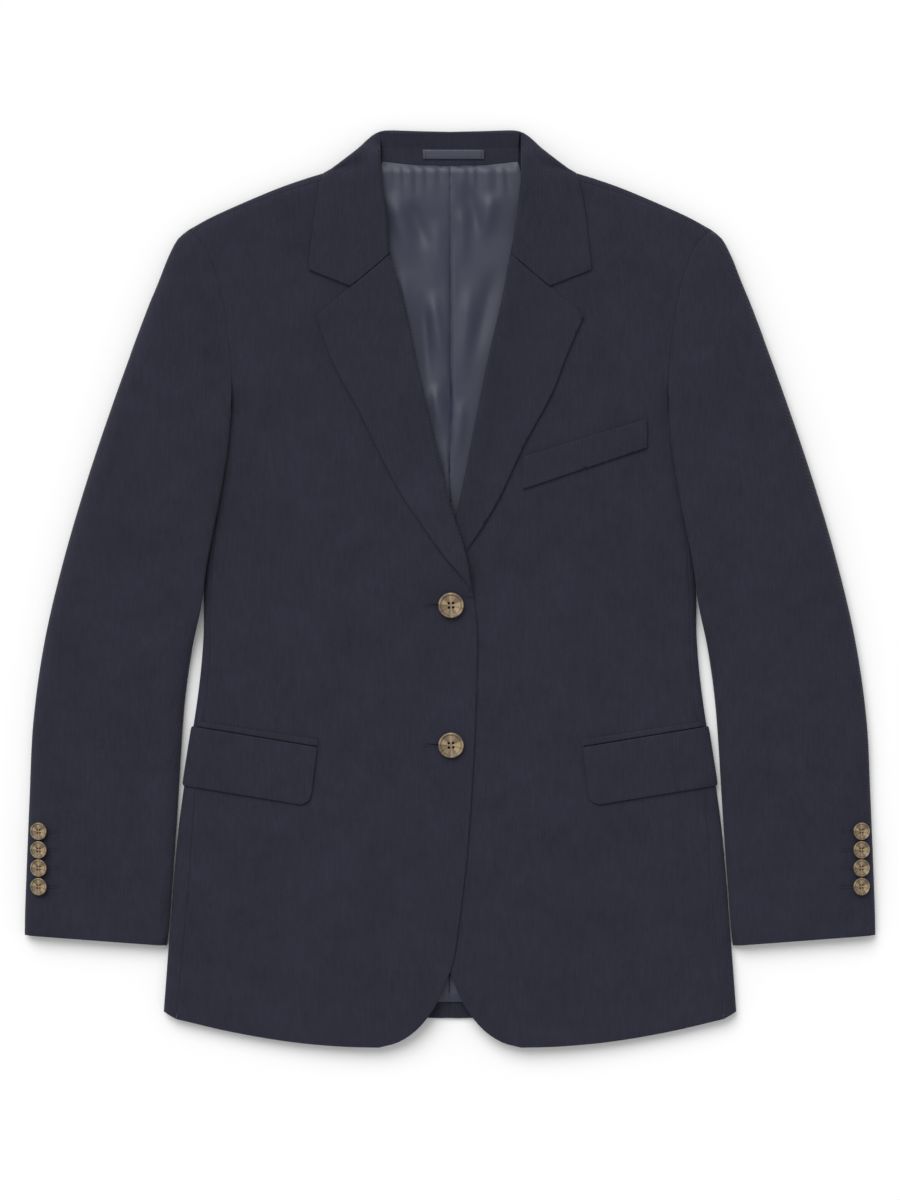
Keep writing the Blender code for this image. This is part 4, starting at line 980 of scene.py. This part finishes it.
def make_back_hems():
    for side, name in ((1, "back_hem_left"), (-1, "back_hem_right")):
        low, high, end = BACK_HEM_Y + 0.4, BACK_HEM_Y + HEM_DEPTH, BACK_HEM_END
        around = straight((0, low), (end, low + 2), (end, high), (0, high), (0, low))
        cloth(name, FACING, "wool", [patch(back_hem_top, [seam(around)])], side)


def make_pockets():
    for side, name in ((1, "left"), (-1, "right")):
        low = steps_along([JET[3], JET[2]], EDGE_STEP)[::-1]
        jet = np.vstack([steps_along(JET[:2], EDGE_STEP), low, JET[:1]])
        rim = [(SIDE_FOLD, -TOP_ROUND)]
        cloth("pocket_jet_" + name, JET_THICKNESS, "wool",
              [patch(trim_top(JET_THICKNESS), [edge(jet)], True, rim, TRIM_GRID)], side)
        outer = moved(part_of(SIDE_FOLD, -167.4, -116.9), FLAP_WRAP)
        outer = steps_along(outer[np.argsort(-outer[:, 1])], EDGE_STEP)
        top = steps_along([outer[0], FLAP_TOP[1]], EDGE_STEP)
        front = np.vstack([straight(FLAP_TOP[1], *FLAP_FRONT), curve(FLAP_CORNER, 3)[1:]])
        bottom = steps_along([outer[-1], FLAP_BOTTOM[0]], EDGE_STEP)[::-1]
        runs = [edge(top), edge(front), edge(bottom), edge(outer[::-1])]
        flap = patch(trim_top(CLOTH), runs, True, rim, TRIM_GRID)
        cloth("pocket_flap_" + name, CLOTH, "wool", [flap], side)


def make_welt():
    around = straight(*WELT, WELT[0])
    cloth("chest_welt", CLOTH, "wool", [patch(trim_top(CLOTH), [edge(around)], grid=TRIM_GRID)])


def button_profile(radius, height):
    """Half a section of a horn button with a raised rim and a dished middle."""
    return [(radius * r, height * h) for r, h in BUTTON_SHAPE]


def turned(name, profile, collection):
    """A shape turned about Z from its half section, which runs down its outer side."""
    data = bpy.data.meshes.new(name)
    points = [(r * MM, 0, h * MM) for r, h in profile]
    data.from_pydata(points, [(i, i + 1) for i in range(len(points) - 1)], [])
    piece = bpy.data.objects.new(name, data)
    collection.objects.link(piece)
    spin = piece.modifiers.new("Turn", "SCREW")
    spin.steps = BUTTON_STEPS
    spin.render_steps = BUTTON_STEPS
    spin.use_merge_vertices = True
    spin.merge_threshold = 1e-6
    return piece


def make_holes(radius):
    """Four thread holes, as one cutter."""
    mesh = bmesh.new()
    across, reach = radius * HOLE_PLACE, radius * HOLE_SIZE * MM
    for x in (-across, across):
        for y in (-across, across):
            made = bmesh.ops.create_cone(mesh, cap_ends=True, segments=10, radius1=reach, radius2=reach,
                                         depth=radius * MM)
            bmesh.ops.translate(mesh, verts=made["verts"], vec=(x * MM, y * MM, 0))
    data = bpy.data.meshes.new("thread_holes")
    mesh.to_mesh(data)
    mesh.free()
    cutter = bpy.data.objects.new("thread_holes", data)
    cutter.hide_render = True
    cutter.display_type = "WIRE"
    bpy.context.scene.collection.objects.link(cutter)
    return cutter


def turned_button(radius, height):
    """A button's mesh, with its four thread holes cut through, centred on its underside."""
    body = turned("button_blank", button_profile(radius, height), bpy.context.scene.collection)
    cutter = make_holes(radius)
    cut = body.modifiers.new("Holes", "BOOLEAN")
    cut.operation = "DIFFERENCE"
    cut.solver = "EXACT"
    cut.object = cutter
    bpy.context.view_layer.update()
    data = bpy.data.meshes.new_from_object(body.evaluated_get(bpy.context.evaluated_depsgraph_get()))
    for item in (body, cutter):
        bpy.data.objects.remove(item)
    for face in data.polygons:
        face.use_smooth = True
    data.set_sharp_from_angle(angle=SHARP_ANGLE)
    data.materials.clear()
    data.materials.append(material("horn"))
    return data


def rope(mesh, points, radius, closed=False, ripple=0.0):
    """A thread along a line of points in millimetres, with capped ends unless it closes on itself."""
    points = np.asarray(points, float)
    sides = 8
    if closed:
        run = np.roll(points, -1, axis=0) - np.roll(points, 1, axis=0)
    else:
        run = np.gradient(points, axis=0)
    run /= np.linalg.norm(run, axis=1)[:, None]
    flat = np.cross(run, (0, 0, 1))
    flat /= np.linalg.norm(flat, axis=1)[:, None]
    up = np.cross(flat, run)
    lengths = np.r_[0, np.cumsum(np.linalg.norm(np.diff(points, axis=0), axis=1))]
    size = radius * (1 + ripple * np.abs(np.sin(lengths * math.pi / STITCH)))
    rings = []
    for place, across, above, reach in zip(points, flat, up, size):
        turns = [2 * math.pi * k / sides for k in range(sides)]
        ring = [place + (across * math.cos(t) + above * math.sin(t)) * reach for t in turns]
        rings.append([mesh.verts.new(tuple(p * MM)) for p in ring])
    pairs = list(zip(rings, rings[1:] + rings[:1])) if closed else list(zip(rings, rings[1:]))
    for low, high in pairs:
        for k in range(sides):
            mesh.faces.new((low[k], high[k], high[k - 1], low[k - 1]))
    if not closed:
        mesh.faces.new(rings[0])
        mesh.faces.new(rings[-1][::-1])


def thread_piece(name, mesh, finish="thread"):
    bmesh.ops.recalc_face_normals(mesh, faces=mesh.faces)
    for face in mesh.faces:
        face.smooth = True
    data = bpy.data.meshes.new(name)
    mesh.to_mesh(data)
    mesh.free()
    data.materials.append(material(finish))
    piece = bpy.data.objects.new(name, data)
    bpy.context.scene.collection.objects.link(piece)
    joined(piece)
    return piece


def on_surface(height, line, above):
    """Plan points lifted onto a surface."""
    line = np.asarray(line, float)
    return np.column_stack([line, height(*line.T) + above])


def buttonhole(mesh, height, outer, inner):
    """A slit bound with close stitches, from under the button to its outer end."""
    outer, inner = np.asarray(outer, float), np.asarray(inner, float)
    run = (inner - outer) / np.hypot(*(inner - outer))
    across = np.array((-run[1], run[0])) * HOLE_HALF_WIDTH
    bend = [outer + across * math.cos(t) - run * HOLE_HALF_WIDTH * math.sin(t)
            for t in np.linspace(0, math.pi, 9)]
    around = steps_along(np.vstack([[inner + across], bend, [inner - across]]), STITCH / 5)
    rope(mesh, on_surface(height, around, 0.1), THREAD_RADIUS, ripple=0.35)


def slit(mesh, height, outer, inner):
    """A tube in painted shade that fills the gap of a buttonhole, which the button's shank pulls wider on its
    own side.
    """
    line = steps_along(np.vstack([outer, inner]), 0.8)
    sizes = np.linspace(0.12, SLIT_RADIUS, len(line))
    rope(mesh, on_surface(height, line, 0.2 - sizes), sizes)


def front_surface(x, y):
    return front_top(-1)(x, y) + relief("front_right", x, y)


def sleeve_surface(x, y):
    return sleeve_top(x, y) + relief("top_sleeve", x, y)


def make_buttonholes():
    mesh = bmesh.new()
    for y in FRONT_BUTTON_Y:
        buttonhole(mesh, front_surface, (-HOLE_REACH + 1, y + 0.4), (FRONT_BUTTON_X - 3, y + 0.2))
    thread_piece("front_buttonholes", mesh)
    mesh = bmesh.new()
    for y in FRONT_BUTTON_Y:
        slit(mesh, front_surface, (-HOLE_REACH + 3.5, y + 0.4), (FRONT_BUTTON_X - 3, y + 0.3))
    # The slits are tubes of painted shade, sunk into the cloth along each buttonhole.
    thread_piece("front_slits", mesh, "painted_shade_thread")
    for side, name in ((1, "left"), (-1, "right")):
        mesh = bmesh.new()
        for y in CUFF_BUTTON_Y:
            place = side * CUFF_BUTTON_X
            buttonhole(mesh, sleeve_surface, (place - side * CUFF_HOLE_REACH, y), (place - side * 2, y))
        thread_piece("cuff_buttonholes_" + name, mesh)


def stitches(mesh, height, start, end, length=2.0, space=3.0, above=0.12):
    """A line of sewn stitches between two plan points."""
    line = steps_along([start, end], space)
    way = (line[-1] - line[0]) / np.hypot(*(line[-1] - line[0])) * length / 2
    for place in (line[1:] + line[:-1]) / 2:
        bits = np.array([place - way, place - way * 0.5, place + way * 0.5, place + way])
        points = on_surface(height, bits, above)
        points[[0, -1], 2] -= above + 0.1
        rope(mesh, points, 0.2)


def make_stitches():
    mesh = bmesh.new()
    stitches(mesh, trim_top(CLOTH), (163.6, 141.0), (163.8, 120.6))
    thread_piece("welt_stitches", mesh)
    mesh = bmesh.new()
    for x in (-20.5, 26.5):
        stitches(mesh, loop_top, (x, 371.4), (x, 365.0), 1.3, 1.9)
    thread_piece("loop_stitches", mesh)


def make_button(name, data, place, tilt, radius, height):
    """A button with its thread showing in the four holes, darkened as painted shade in the holes."""
    piece = bpy.data.objects.new(name + "_horn", data)
    bpy.context.scene.collection.objects.link(piece)
    piece.location = [value * MM for value in place]
    piece.rotation_euler = (0, tilt, BUTTON_TURN)
    joined(piece, name)
    mesh = bmesh.new()
    across = radius * HOLE_PLACE
    for x in (-across, across):
        for y in (-across, across):
            line = [(x, y - 0.05, 0.2), (x, y, height * 0.2), (x, y + 0.05, height * 0.3)]
            rope(mesh, line, radius * HOLE_SIZE * 0.8)
    # The thread in the holes takes the near-black painted-shade finish.
    sewn = thread_piece(name + "_thread", mesh, "painted_shade_thread")
    sewn.matrix_world = piece.matrix_world.copy()


def make_buttons():
    large = turned_button(FRONT_BUTTON, FRONT_BUTTON_HEIGHT)
    small = turned_button(CUFF_BUTTON, CUFF_BUTTON_HEIGHT)
    for number in range(1, len(FRONT_BUTTON_Y) + 1):
        name = f"front_button_{number}"
        low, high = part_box(name)
        place = ((low.x + high.x) / 2 / MM, (low.y + high.y) / 2 / MM, low.z / MM)
        make_button(name, large, place, 0.0, FRONT_BUTTON, FRONT_BUTTON_HEIGHT)
    for side, word in ((1, "left"), (-1, "right")):
        for number, y in enumerate(CUFF_BUTTON_Y, 1):
            z = float(sleeve_top(np.array([CUFF_BUTTON_X]), np.array([y]))[0]) + CUFF_SHANK
            make_button(f"cuff_button_{word}_{number}", small, (side * CUFF_BUTTON_X, y, z), side * CUFF_TILT,
                        CUFF_BUTTON, CUFF_BUTTON_HEIGHT)


def feed(tree, socket, value):
    """Sets an input: linked where the value is another node's output."""
    if isinstance(value, bpy.types.NodeSocket):
        tree.links.new(value, socket)
    else:
        socket.default_value = value


def add(tree, kind, settings=None, **inputs):
    """A node with its settings and inputs."""
    made = tree.nodes.new(kind)
    for key, value in (settings or {}).items():
        setattr(made, key, value)
    for key, value in inputs.items():
        feed(tree, made.inputs[key.replace("_", " ")], value)
    return made


def sums(tree, kind, a, b):
    """The result of one sum, such as ADD or MULTIPLY."""
    made = add(tree, "ShaderNodeMath", {"operation": kind})
    feed(tree, made.inputs[0], a)
    feed(tree, made.inputs[1], b)
    return made.outputs[0]


def blended(tree, share, low, high):
    """A colour between two, by a share."""
    made = add(tree, "ShaderNodeMix", {"data_type": "RGBA"})
    feed(tree, made.inputs[0], share)
    for socket, value in zip(made.inputs[6:8], (low, high)):
        feed(tree, socket, value if isinstance(value, bpy.types.NodeSocket) else (*value, 1))
    return made.outputs[2]


def new_group(name, inputs, outputs):
    tree = bpy.data.node_groups.new(name, "ShaderNodeTree")
    for word, value in inputs:
        tree.interface.new_socket(word, in_out="INPUT", socket_type="NodeSocketFloat").default_value = value
    for word in outputs:
        tree.interface.new_socket(word, in_out="OUTPUT", socket_type="NodeSocketFloat")
    return tree, tree.nodes.new("NodeGroupInput").outputs, tree.nodes.new("NodeGroupOutput").inputs


def weave_group():
    """Woven threads: a height for bump and a tone that varies as yarn does."""
    if "woven_cloth" in bpy.data.node_groups:
        return bpy.data.node_groups["woven_cloth"]
    inputs = [("Thread Scale", 260.0), ("Mottle Scale", 34.0), ("Slub", 0.5)]
    tree, given, result = new_group("woven_cloth", inputs, ["Height", "Tone"])
    scale = given["Thread Scale"]
    place = add(tree, "ShaderNodeTexCoord").outputs["Object"]
    slant = add(tree, "ShaderNodeTexWave", {"bands_direction": "DIAGONAL"}, Vector=place, Distortion=1.2,
                Detail=1.0, Scale=scale, Detail_Scale=0.4)
    threads = add(tree, "ShaderNodeTexWave", {"bands_direction": "X"}, Vector=place, Distortion=0.8,
                  Detail=1.0, Scale=scale)
    grain = add(tree, "ShaderNodeTexNoise", Vector=place, Scale=sums(tree, "MULTIPLY", scale, 2.6),
                Detail=3.0, Roughness=0.6)
    long_yarn = add(tree, "ShaderNodeMapping", Vector=place, Scale=(3.2, 0.55, 1.0))
    slub = add(tree, "ShaderNodeTexNoise", Vector=long_yarn.outputs[0], Detail=2.0,
               Scale=sums(tree, "MULTIPLY", scale, 0.55))
    mottle = add(tree, "ShaderNodeTexNoise", Vector=place, Scale=given["Mottle Scale"], Detail=4.0,
                 Roughness=0.62)
    weave = sums(tree, "ADD", sums(tree, "MULTIPLY", slant.outputs["Fac"], 0.6),
                 sums(tree, "MULTIPLY", threads.outputs["Fac"], 0.3))
    height = sums(tree, "ADD", weave, sums(tree, "MULTIPLY", grain.outputs["Fac"], 0.9))
    tree.links.new(height, result["Height"])
    yarn = sums(tree, "ADD", sums(tree, "MULTIPLY", grain.outputs["Fac"], 0.45),
                sums(tree, "MULTIPLY", slub.outputs["Fac"], given["Slub"]))
    tone = sums(tree, "ADD", yarn, sums(tree, "MULTIPLY", mottle.outputs["Fac"], 0.5))
    tree.links.new(sums(tree, "MULTIPLY", sums(tree, "ADD", weave, 0.4), sums(tree, "MULTIPLY", tone, 0.85)),
                   result["Tone"])
    return tree


def new_material(name, colour, roughness):
    made = bpy.data.materials.new(name)
    made.use_nodes = True
    shader = made.node_tree.nodes["Principled BSDF"]
    shader.inputs["Base Color"].default_value = (*colour, 1)
    shader.inputs["Roughness"].default_value = roughness
    return made, made.node_tree, shader


# Each woven finish: the share of its base colour, roughness, thread scale, contrast, bump strength and
# depth, sheen and shine.
WOVEN_FINISHES = {
    "wool": (1.0, 0.86, 260.0, 0.85, 0.6, 0.0003, 0.06, 0.2),
    "lining": (1.0, 0.46, 420.0, 0.06, 0.12, 0.00008, 0.0, 0.5),
    "thread": (1.15, 0.8, 600.0, 0.25, 0.4, 0.0001, 0.0, 0.2),
    # The last finish is a near-black painted shade, for the buttonhole slits and the thread in the buttons'
    # holes.
    "painted_shade_thread": (0.2, 0.9, 600.0, 0.25, 0.4, 0.0001, 0.0, 0.05),
}


def woven(name, colour, roughness, threads, contrast, bump, depth, sheen, shine):
    """A woven finish, dull or shiny, with yarn that varies in tone and stands up in relief."""
    made, tree, shader = new_material(name, colour, roughness)
    weave = add(tree, "ShaderNodeGroup", {"node_tree": weave_group()}, Thread_Scale=threads)
    low, high = (tuple(c * (1 + sign * contrast) for c in colour) for sign in (-1, 1))
    tree.links.new(blended(tree, weave.outputs["Tone"], low, high), shader.inputs["Base Color"])
    tree.links.new(sums(tree, "ADD", sums(tree, "MULTIPLY", weave.outputs["Tone"], 0.16), roughness - 0.08),
                   shader.inputs["Roughness"])
    shader.inputs["Sheen Weight"].default_value = sheen
    shader.inputs["Specular IOR Level"].default_value = shine
    shader.inputs["Sheen Roughness"].default_value = 0.5
    relief_node = add(tree, "ShaderNodeBump", Height=weave.outputs["Height"], Strength=bump, Distance=depth)
    tree.links.new(relief_node.outputs[0], shader.inputs["Normal"])
    return made


def horn_material(colour):
    """Polished horn: warm, with dark streaks that run out from the middle, pale clouds that are partly
    painted highlight, and painted shade in a ring inside the rim and towards its edge.
    """
    made, tree, shader = new_material("horn", colour, 0.3)
    place = add(tree, "ShaderNodeTexCoord").outputs["Object"]
    flat = add(tree, "ShaderNodeMapping", Vector=place, Scale=(1.0, 1.0, 0.0))
    around = add(tree, "ShaderNodeVectorMath", {"operation": "NORMALIZE"})
    tree.links.new(flat.outputs[0], around.inputs[0])
    streaks = add(tree, "ShaderNodeTexNoise", Vector=around.outputs[0], Scale=1.7, Detail=5.0, Roughness=0.62)
    cloud_and_highlight = add(tree, "ShaderNodeTexNoise", Vector=place, Scale=150.0, Detail=3.0)
    ramp = add(tree, "ShaderNodeValToRGB", Fac=streaks.outputs["Fac"])
    ramp.color_ramp.elements[0].position = 0.42
    ramp.color_ramp.elements[0].color = (*(c * 0.13 for c in colour), 1)
    ramp.color_ramp.elements[1].position = 0.57
    ramp.color_ramp.elements[1].color = (*colour, 1)
    # Pale clouds: partly the horn's own cloudy tone, partly a painted highlight.
    pale_cloud_and_highlight = tuple(min(1.0, c * 2.2) for c in colour)
    body = blended(tree, sums(tree, "MULTIPLY", cloud_and_highlight.outputs["Fac"], 0.3), ramp.outputs[0], pale_cloud_and_highlight)
    # Painted shade: a dark ring inside the raised rim and a darkening towards the outer edge, set by the
    # distance from the middle.
    box = add(tree, "ShaderNodeMapping", Vector=add(tree, "ShaderNodeTexCoord").outputs["Generated"],
              Location=(-1.0, -1.0, 0.0), Scale=(2.0, 2.0, 0.0))
    reach = add(tree, "ShaderNodeVectorMath", {"operation": "LENGTH"})
    tree.links.new(box.outputs[0], reach.inputs[0])
    painted_groove_shade = add(tree, "ShaderNodeValToRGB", Fac=reach.outputs["Value"])
    for stop, share in ((0.71, 0.0), (0.8, 0.85), (0.86, 0.0), (0.97, 0.25)):
        painted_groove_shade.color_ramp.elements.new(stop).color = (share, share, share, 1)
    painted_groove_shade.color_ramp.elements[0].color = (0, 0, 0, 1)
    painted_groove_shade.color_ramp.elements[-1].color = (0.8, 0.8, 0.8, 1)
    tree.links.new(blended(tree, painted_groove_shade.outputs[0], body, tuple(c * 0.16 for c in colour)),
                   shader.inputs["Base Color"])
    shader.inputs["Coat Weight"].default_value = 0.3
    shader.inputs["Coat Roughness"].default_value = 0.12
    fine = add(tree, "ShaderNodeTexNoise", Vector=place, Scale=900.0, Detail=2.0)
    bump = add(tree, "ShaderNodeBump", Height=fine.outputs["Fac"], Strength=0.08, Distance=0.0002)
    tree.links.new(bump.outputs[0], shader.inputs["Normal"])
    return made


def material(name):
    """The finish of that name, made the first time it is asked for."""
    if name in bpy.data.materials and bpy.data.materials[name].get("jacket_finish"):
        return bpy.data.materials[name]
    if name in bpy.data.materials:
        bpy.data.materials[name].name = name + "_frame"
    chosen = bpy.context.scene.jacket_settings
    if name == "horn":
        made = horn_material(tuple(chosen.horn_colour))
    else:
        base = chosen.lining_colour if name == "lining" else chosen.wool_colour
        share, *looks = WOVEN_FINISHES[name]
        made = woven(name, tuple(c * share for c in base), *looks)
    made["jacket_finish"] = True
    return made


FLOOR_HALF = 4.0
FLOOR_Z = -0.0004
LAMP_DIRECTION = (-0.45, 1.0, 1.15)
LAMP_ANGLE = math.radians(46)
SENSOR = 36.0
CAMERA_Y = -0.0098


def make_floor():
    data = bpy.data.meshes.new("floor")
    corners = [(x * FLOOR_HALF, y * FLOOR_HALF, FLOOR_Z) for x, y in ((-1, -1), (1, -1), (1, 1), (-1, 1))]
    data.from_pydata(corners, [], [(0, 1, 2, 3)])
    floor = bpy.data.objects.new("floor", data)
    bpy.context.scene.collection.objects.link(floor)
    made, tree, shader = new_material("pale_floor", (0.9, 0.9, 0.9), 0.8)
    grain = add(tree, "ShaderNodeTexNoise", Scale=9.0, Detail=3.0)
    tree.links.new(blended(tree, grain.outputs["Fac"], (0.965, 0.965, 0.965), (0.985, 0.985, 0.985)),
                   shader.inputs["Base Color"])
    data.materials.append(made)


def make_lights():
    """An even light from all round, and a broad soft one from beyond the collar on the right."""
    chosen = bpy.context.scene.stage_settings
    world = bpy.data.worlds.new("studio")
    bpy.context.scene.world = world
    world.use_nodes = True
    background = world.node_tree.nodes["Background"]
    background.inputs[0].default_value = (1.0, 1.0, 1.0, 1)
    background.inputs[1].default_value = chosen.fill_light
    lamp = bpy.data.lights.new("window", "SUN")
    lamp.angle = LAMP_ANGLE
    lamp.energy = chosen.key_light
    item = bpy.data.objects.new("window", lamp)
    item.rotation_euler = Vector(LAMP_DIRECTION).to_track_quat("Z", "Y").to_euler()
    bpy.context.scene.collection.objects.link(item)


def make_camera():
    """A camera straight above, with its lens set from the length of floor it shows."""
    scene = bpy.context.scene
    chosen = scene.stage_settings
    camera = bpy.data.cameras.new("camera")
    camera.sensor_width = SENSOR
    camera.lens = SENSOR * chosen.camera_height / chosen.view_height
    item = bpy.data.objects.new("camera", camera)
    item.location = (0.0, CAMERA_Y, chosen.camera_height)
    scene.collection.objects.link(item)
    scene.camera = item
    scene.view_settings.view_transform = "Standard"
    scene.view_settings.look = "None"


class JacketSettings(bpy.types.PropertyGroup):
    """The sizes and colours that change the jacket's look."""

    wool_colour: FloatVectorProperty(
        name="Wool", description="Colour of the outer cloth", subtype="COLOR", min=0, max=1,
        default=(0.0195, 0.0195, 0.0335))
    lining_colour: FloatVectorProperty(
        name="Lining", description="Colour of the satin lining", subtype="COLOR", min=0, max=1,
        default=(0.028, 0.032, 0.058))
    horn_colour: FloatVectorProperty(
        name="Horn", description="Colour of the buttons", subtype="COLOR", min=0, max=1,
        default=(0.30, 0.215, 0.12))


class StageSettings(bpy.types.PropertyGroup):
    """The studio's light and camera."""

    fill_light: FloatProperty(name="Fill", description="Strength of the even light", default=0.58, min=0)
    key_light: FloatProperty(name="Key", description="Strength of the soft light", default=2.0, min=0)
    camera_height: FloatProperty(
        name="Camera height", description="How far above the floor the camera is", default=3.2, unit="LENGTH")
    view_height: FloatProperty(
        name="View", description="The length of floor that the picture shows", default=1.02, unit="LENGTH")


class Maker:
    """Runs the makers of one group of pieces, in order."""

    makers = ()

    def execute(self, context):
        for make in self.makers:
            make()
        return {"FINISHED"}


class JACKET_OT_body(Maker, bpy.types.Operator):
    """Makes the fronts, the backs and the side panels"""

    bl_idname = "jacket.body"
    bl_label = "Body"
    makers = (make_fronts, make_backs, make_sides)


class JACKET_OT_sleeves(Maker, bpy.types.Operator):
    """Makes the top and under sleeves"""

    bl_idname = "jacket.sleeves"
    bl_label = "Sleeves"
    makers = (make_sleeves,)


class JACKET_OT_collar(Maker, bpy.types.Operator):
    """Makes the lapels, the collar and its stand, the neck facing and the hanger loop"""

    bl_idname = "jacket.collar"
    bl_label = "Collar and lapels"
    makers = (make_lapels, make_collar, make_neck)


class JACKET_OT_lining(Maker, bpy.types.Operator):
    """Makes the lining and the turned-up back hem"""

    bl_idname = "jacket.lining"
    bl_label = "Lining"
    makers = (make_linings, make_back_hems)


class JACKET_OT_pockets(Maker, bpy.types.Operator):
    """Makes the pocket flaps, their jets and the chest welt"""

    bl_idname = "jacket.pockets"
    bl_label = "Pockets"
    makers = (make_pockets, make_welt)


class JACKET_OT_stitching(Maker, bpy.types.Operator):
    """Makes the buttonholes and the lines of stitches"""

    bl_idname = "jacket.stitching"
    bl_label = "Buttonholes and stitches"
    makers = (make_buttonholes, make_stitches)


class JACKET_OT_buttons(Maker, bpy.types.Operator):
    """Makes the buttons with their thread"""

    bl_idname = "jacket.buttons"
    bl_label = "Buttons"
    makers = (make_buttons,)


class JACKET_OT_stage(Maker, bpy.types.Operator):
    """Makes the floor, the lights and the camera"""

    bl_idname = "jacket.stage"
    bl_label = "Stage"
    makers = (make_floor, make_lights, make_camera)


STEPS = ("body", "sleeves", "collar", "lining", "pockets", "stitching", "buttons", "stage")


class JACKET_PT_panel(bpy.types.Panel):
    """Lists the jacket's settings and its steps"""

    bl_idname = "JACKET_PT_panel"
    bl_label = "Jacket"
    bl_space_type = "VIEW_3D"
    bl_region_type = "UI"
    bl_category = "Jacket"

    def draw(self, context):
        for settings in (context.scene.jacket_settings, context.scene.stage_settings):
            for name in settings.__annotations__:
                self.layout.prop(settings, name)
        for step in STEPS:
            self.layout.operator("jacket." + step)


CLASSES = (JacketSettings, StageSettings, JACKET_OT_body, JACKET_OT_sleeves, JACKET_OT_collar,
           JACKET_OT_lining, JACKET_OT_pockets, JACKET_OT_stitching, JACKET_OT_buttons, JACKET_OT_stage,
           JACKET_PT_panel)


def register():
    for kind in CLASSES:
        bpy.utils.register_class(kind)
    bpy.types.Scene.jacket_settings = PointerProperty(type=JacketSettings)
    bpy.types.Scene.stage_settings = PointerProperty(type=StageSettings)


def unregister():
    del bpy.types.Scene.stage_settings
    del bpy.types.Scene.jacket_settings
    for kind in reversed(CLASSES):
        bpy.utils.unregister_class(kind)


def main():
    register()
    for step in STEPS:
        getattr(bpy.ops.jacket, step)()


if __name__ == "__main__":
    main()
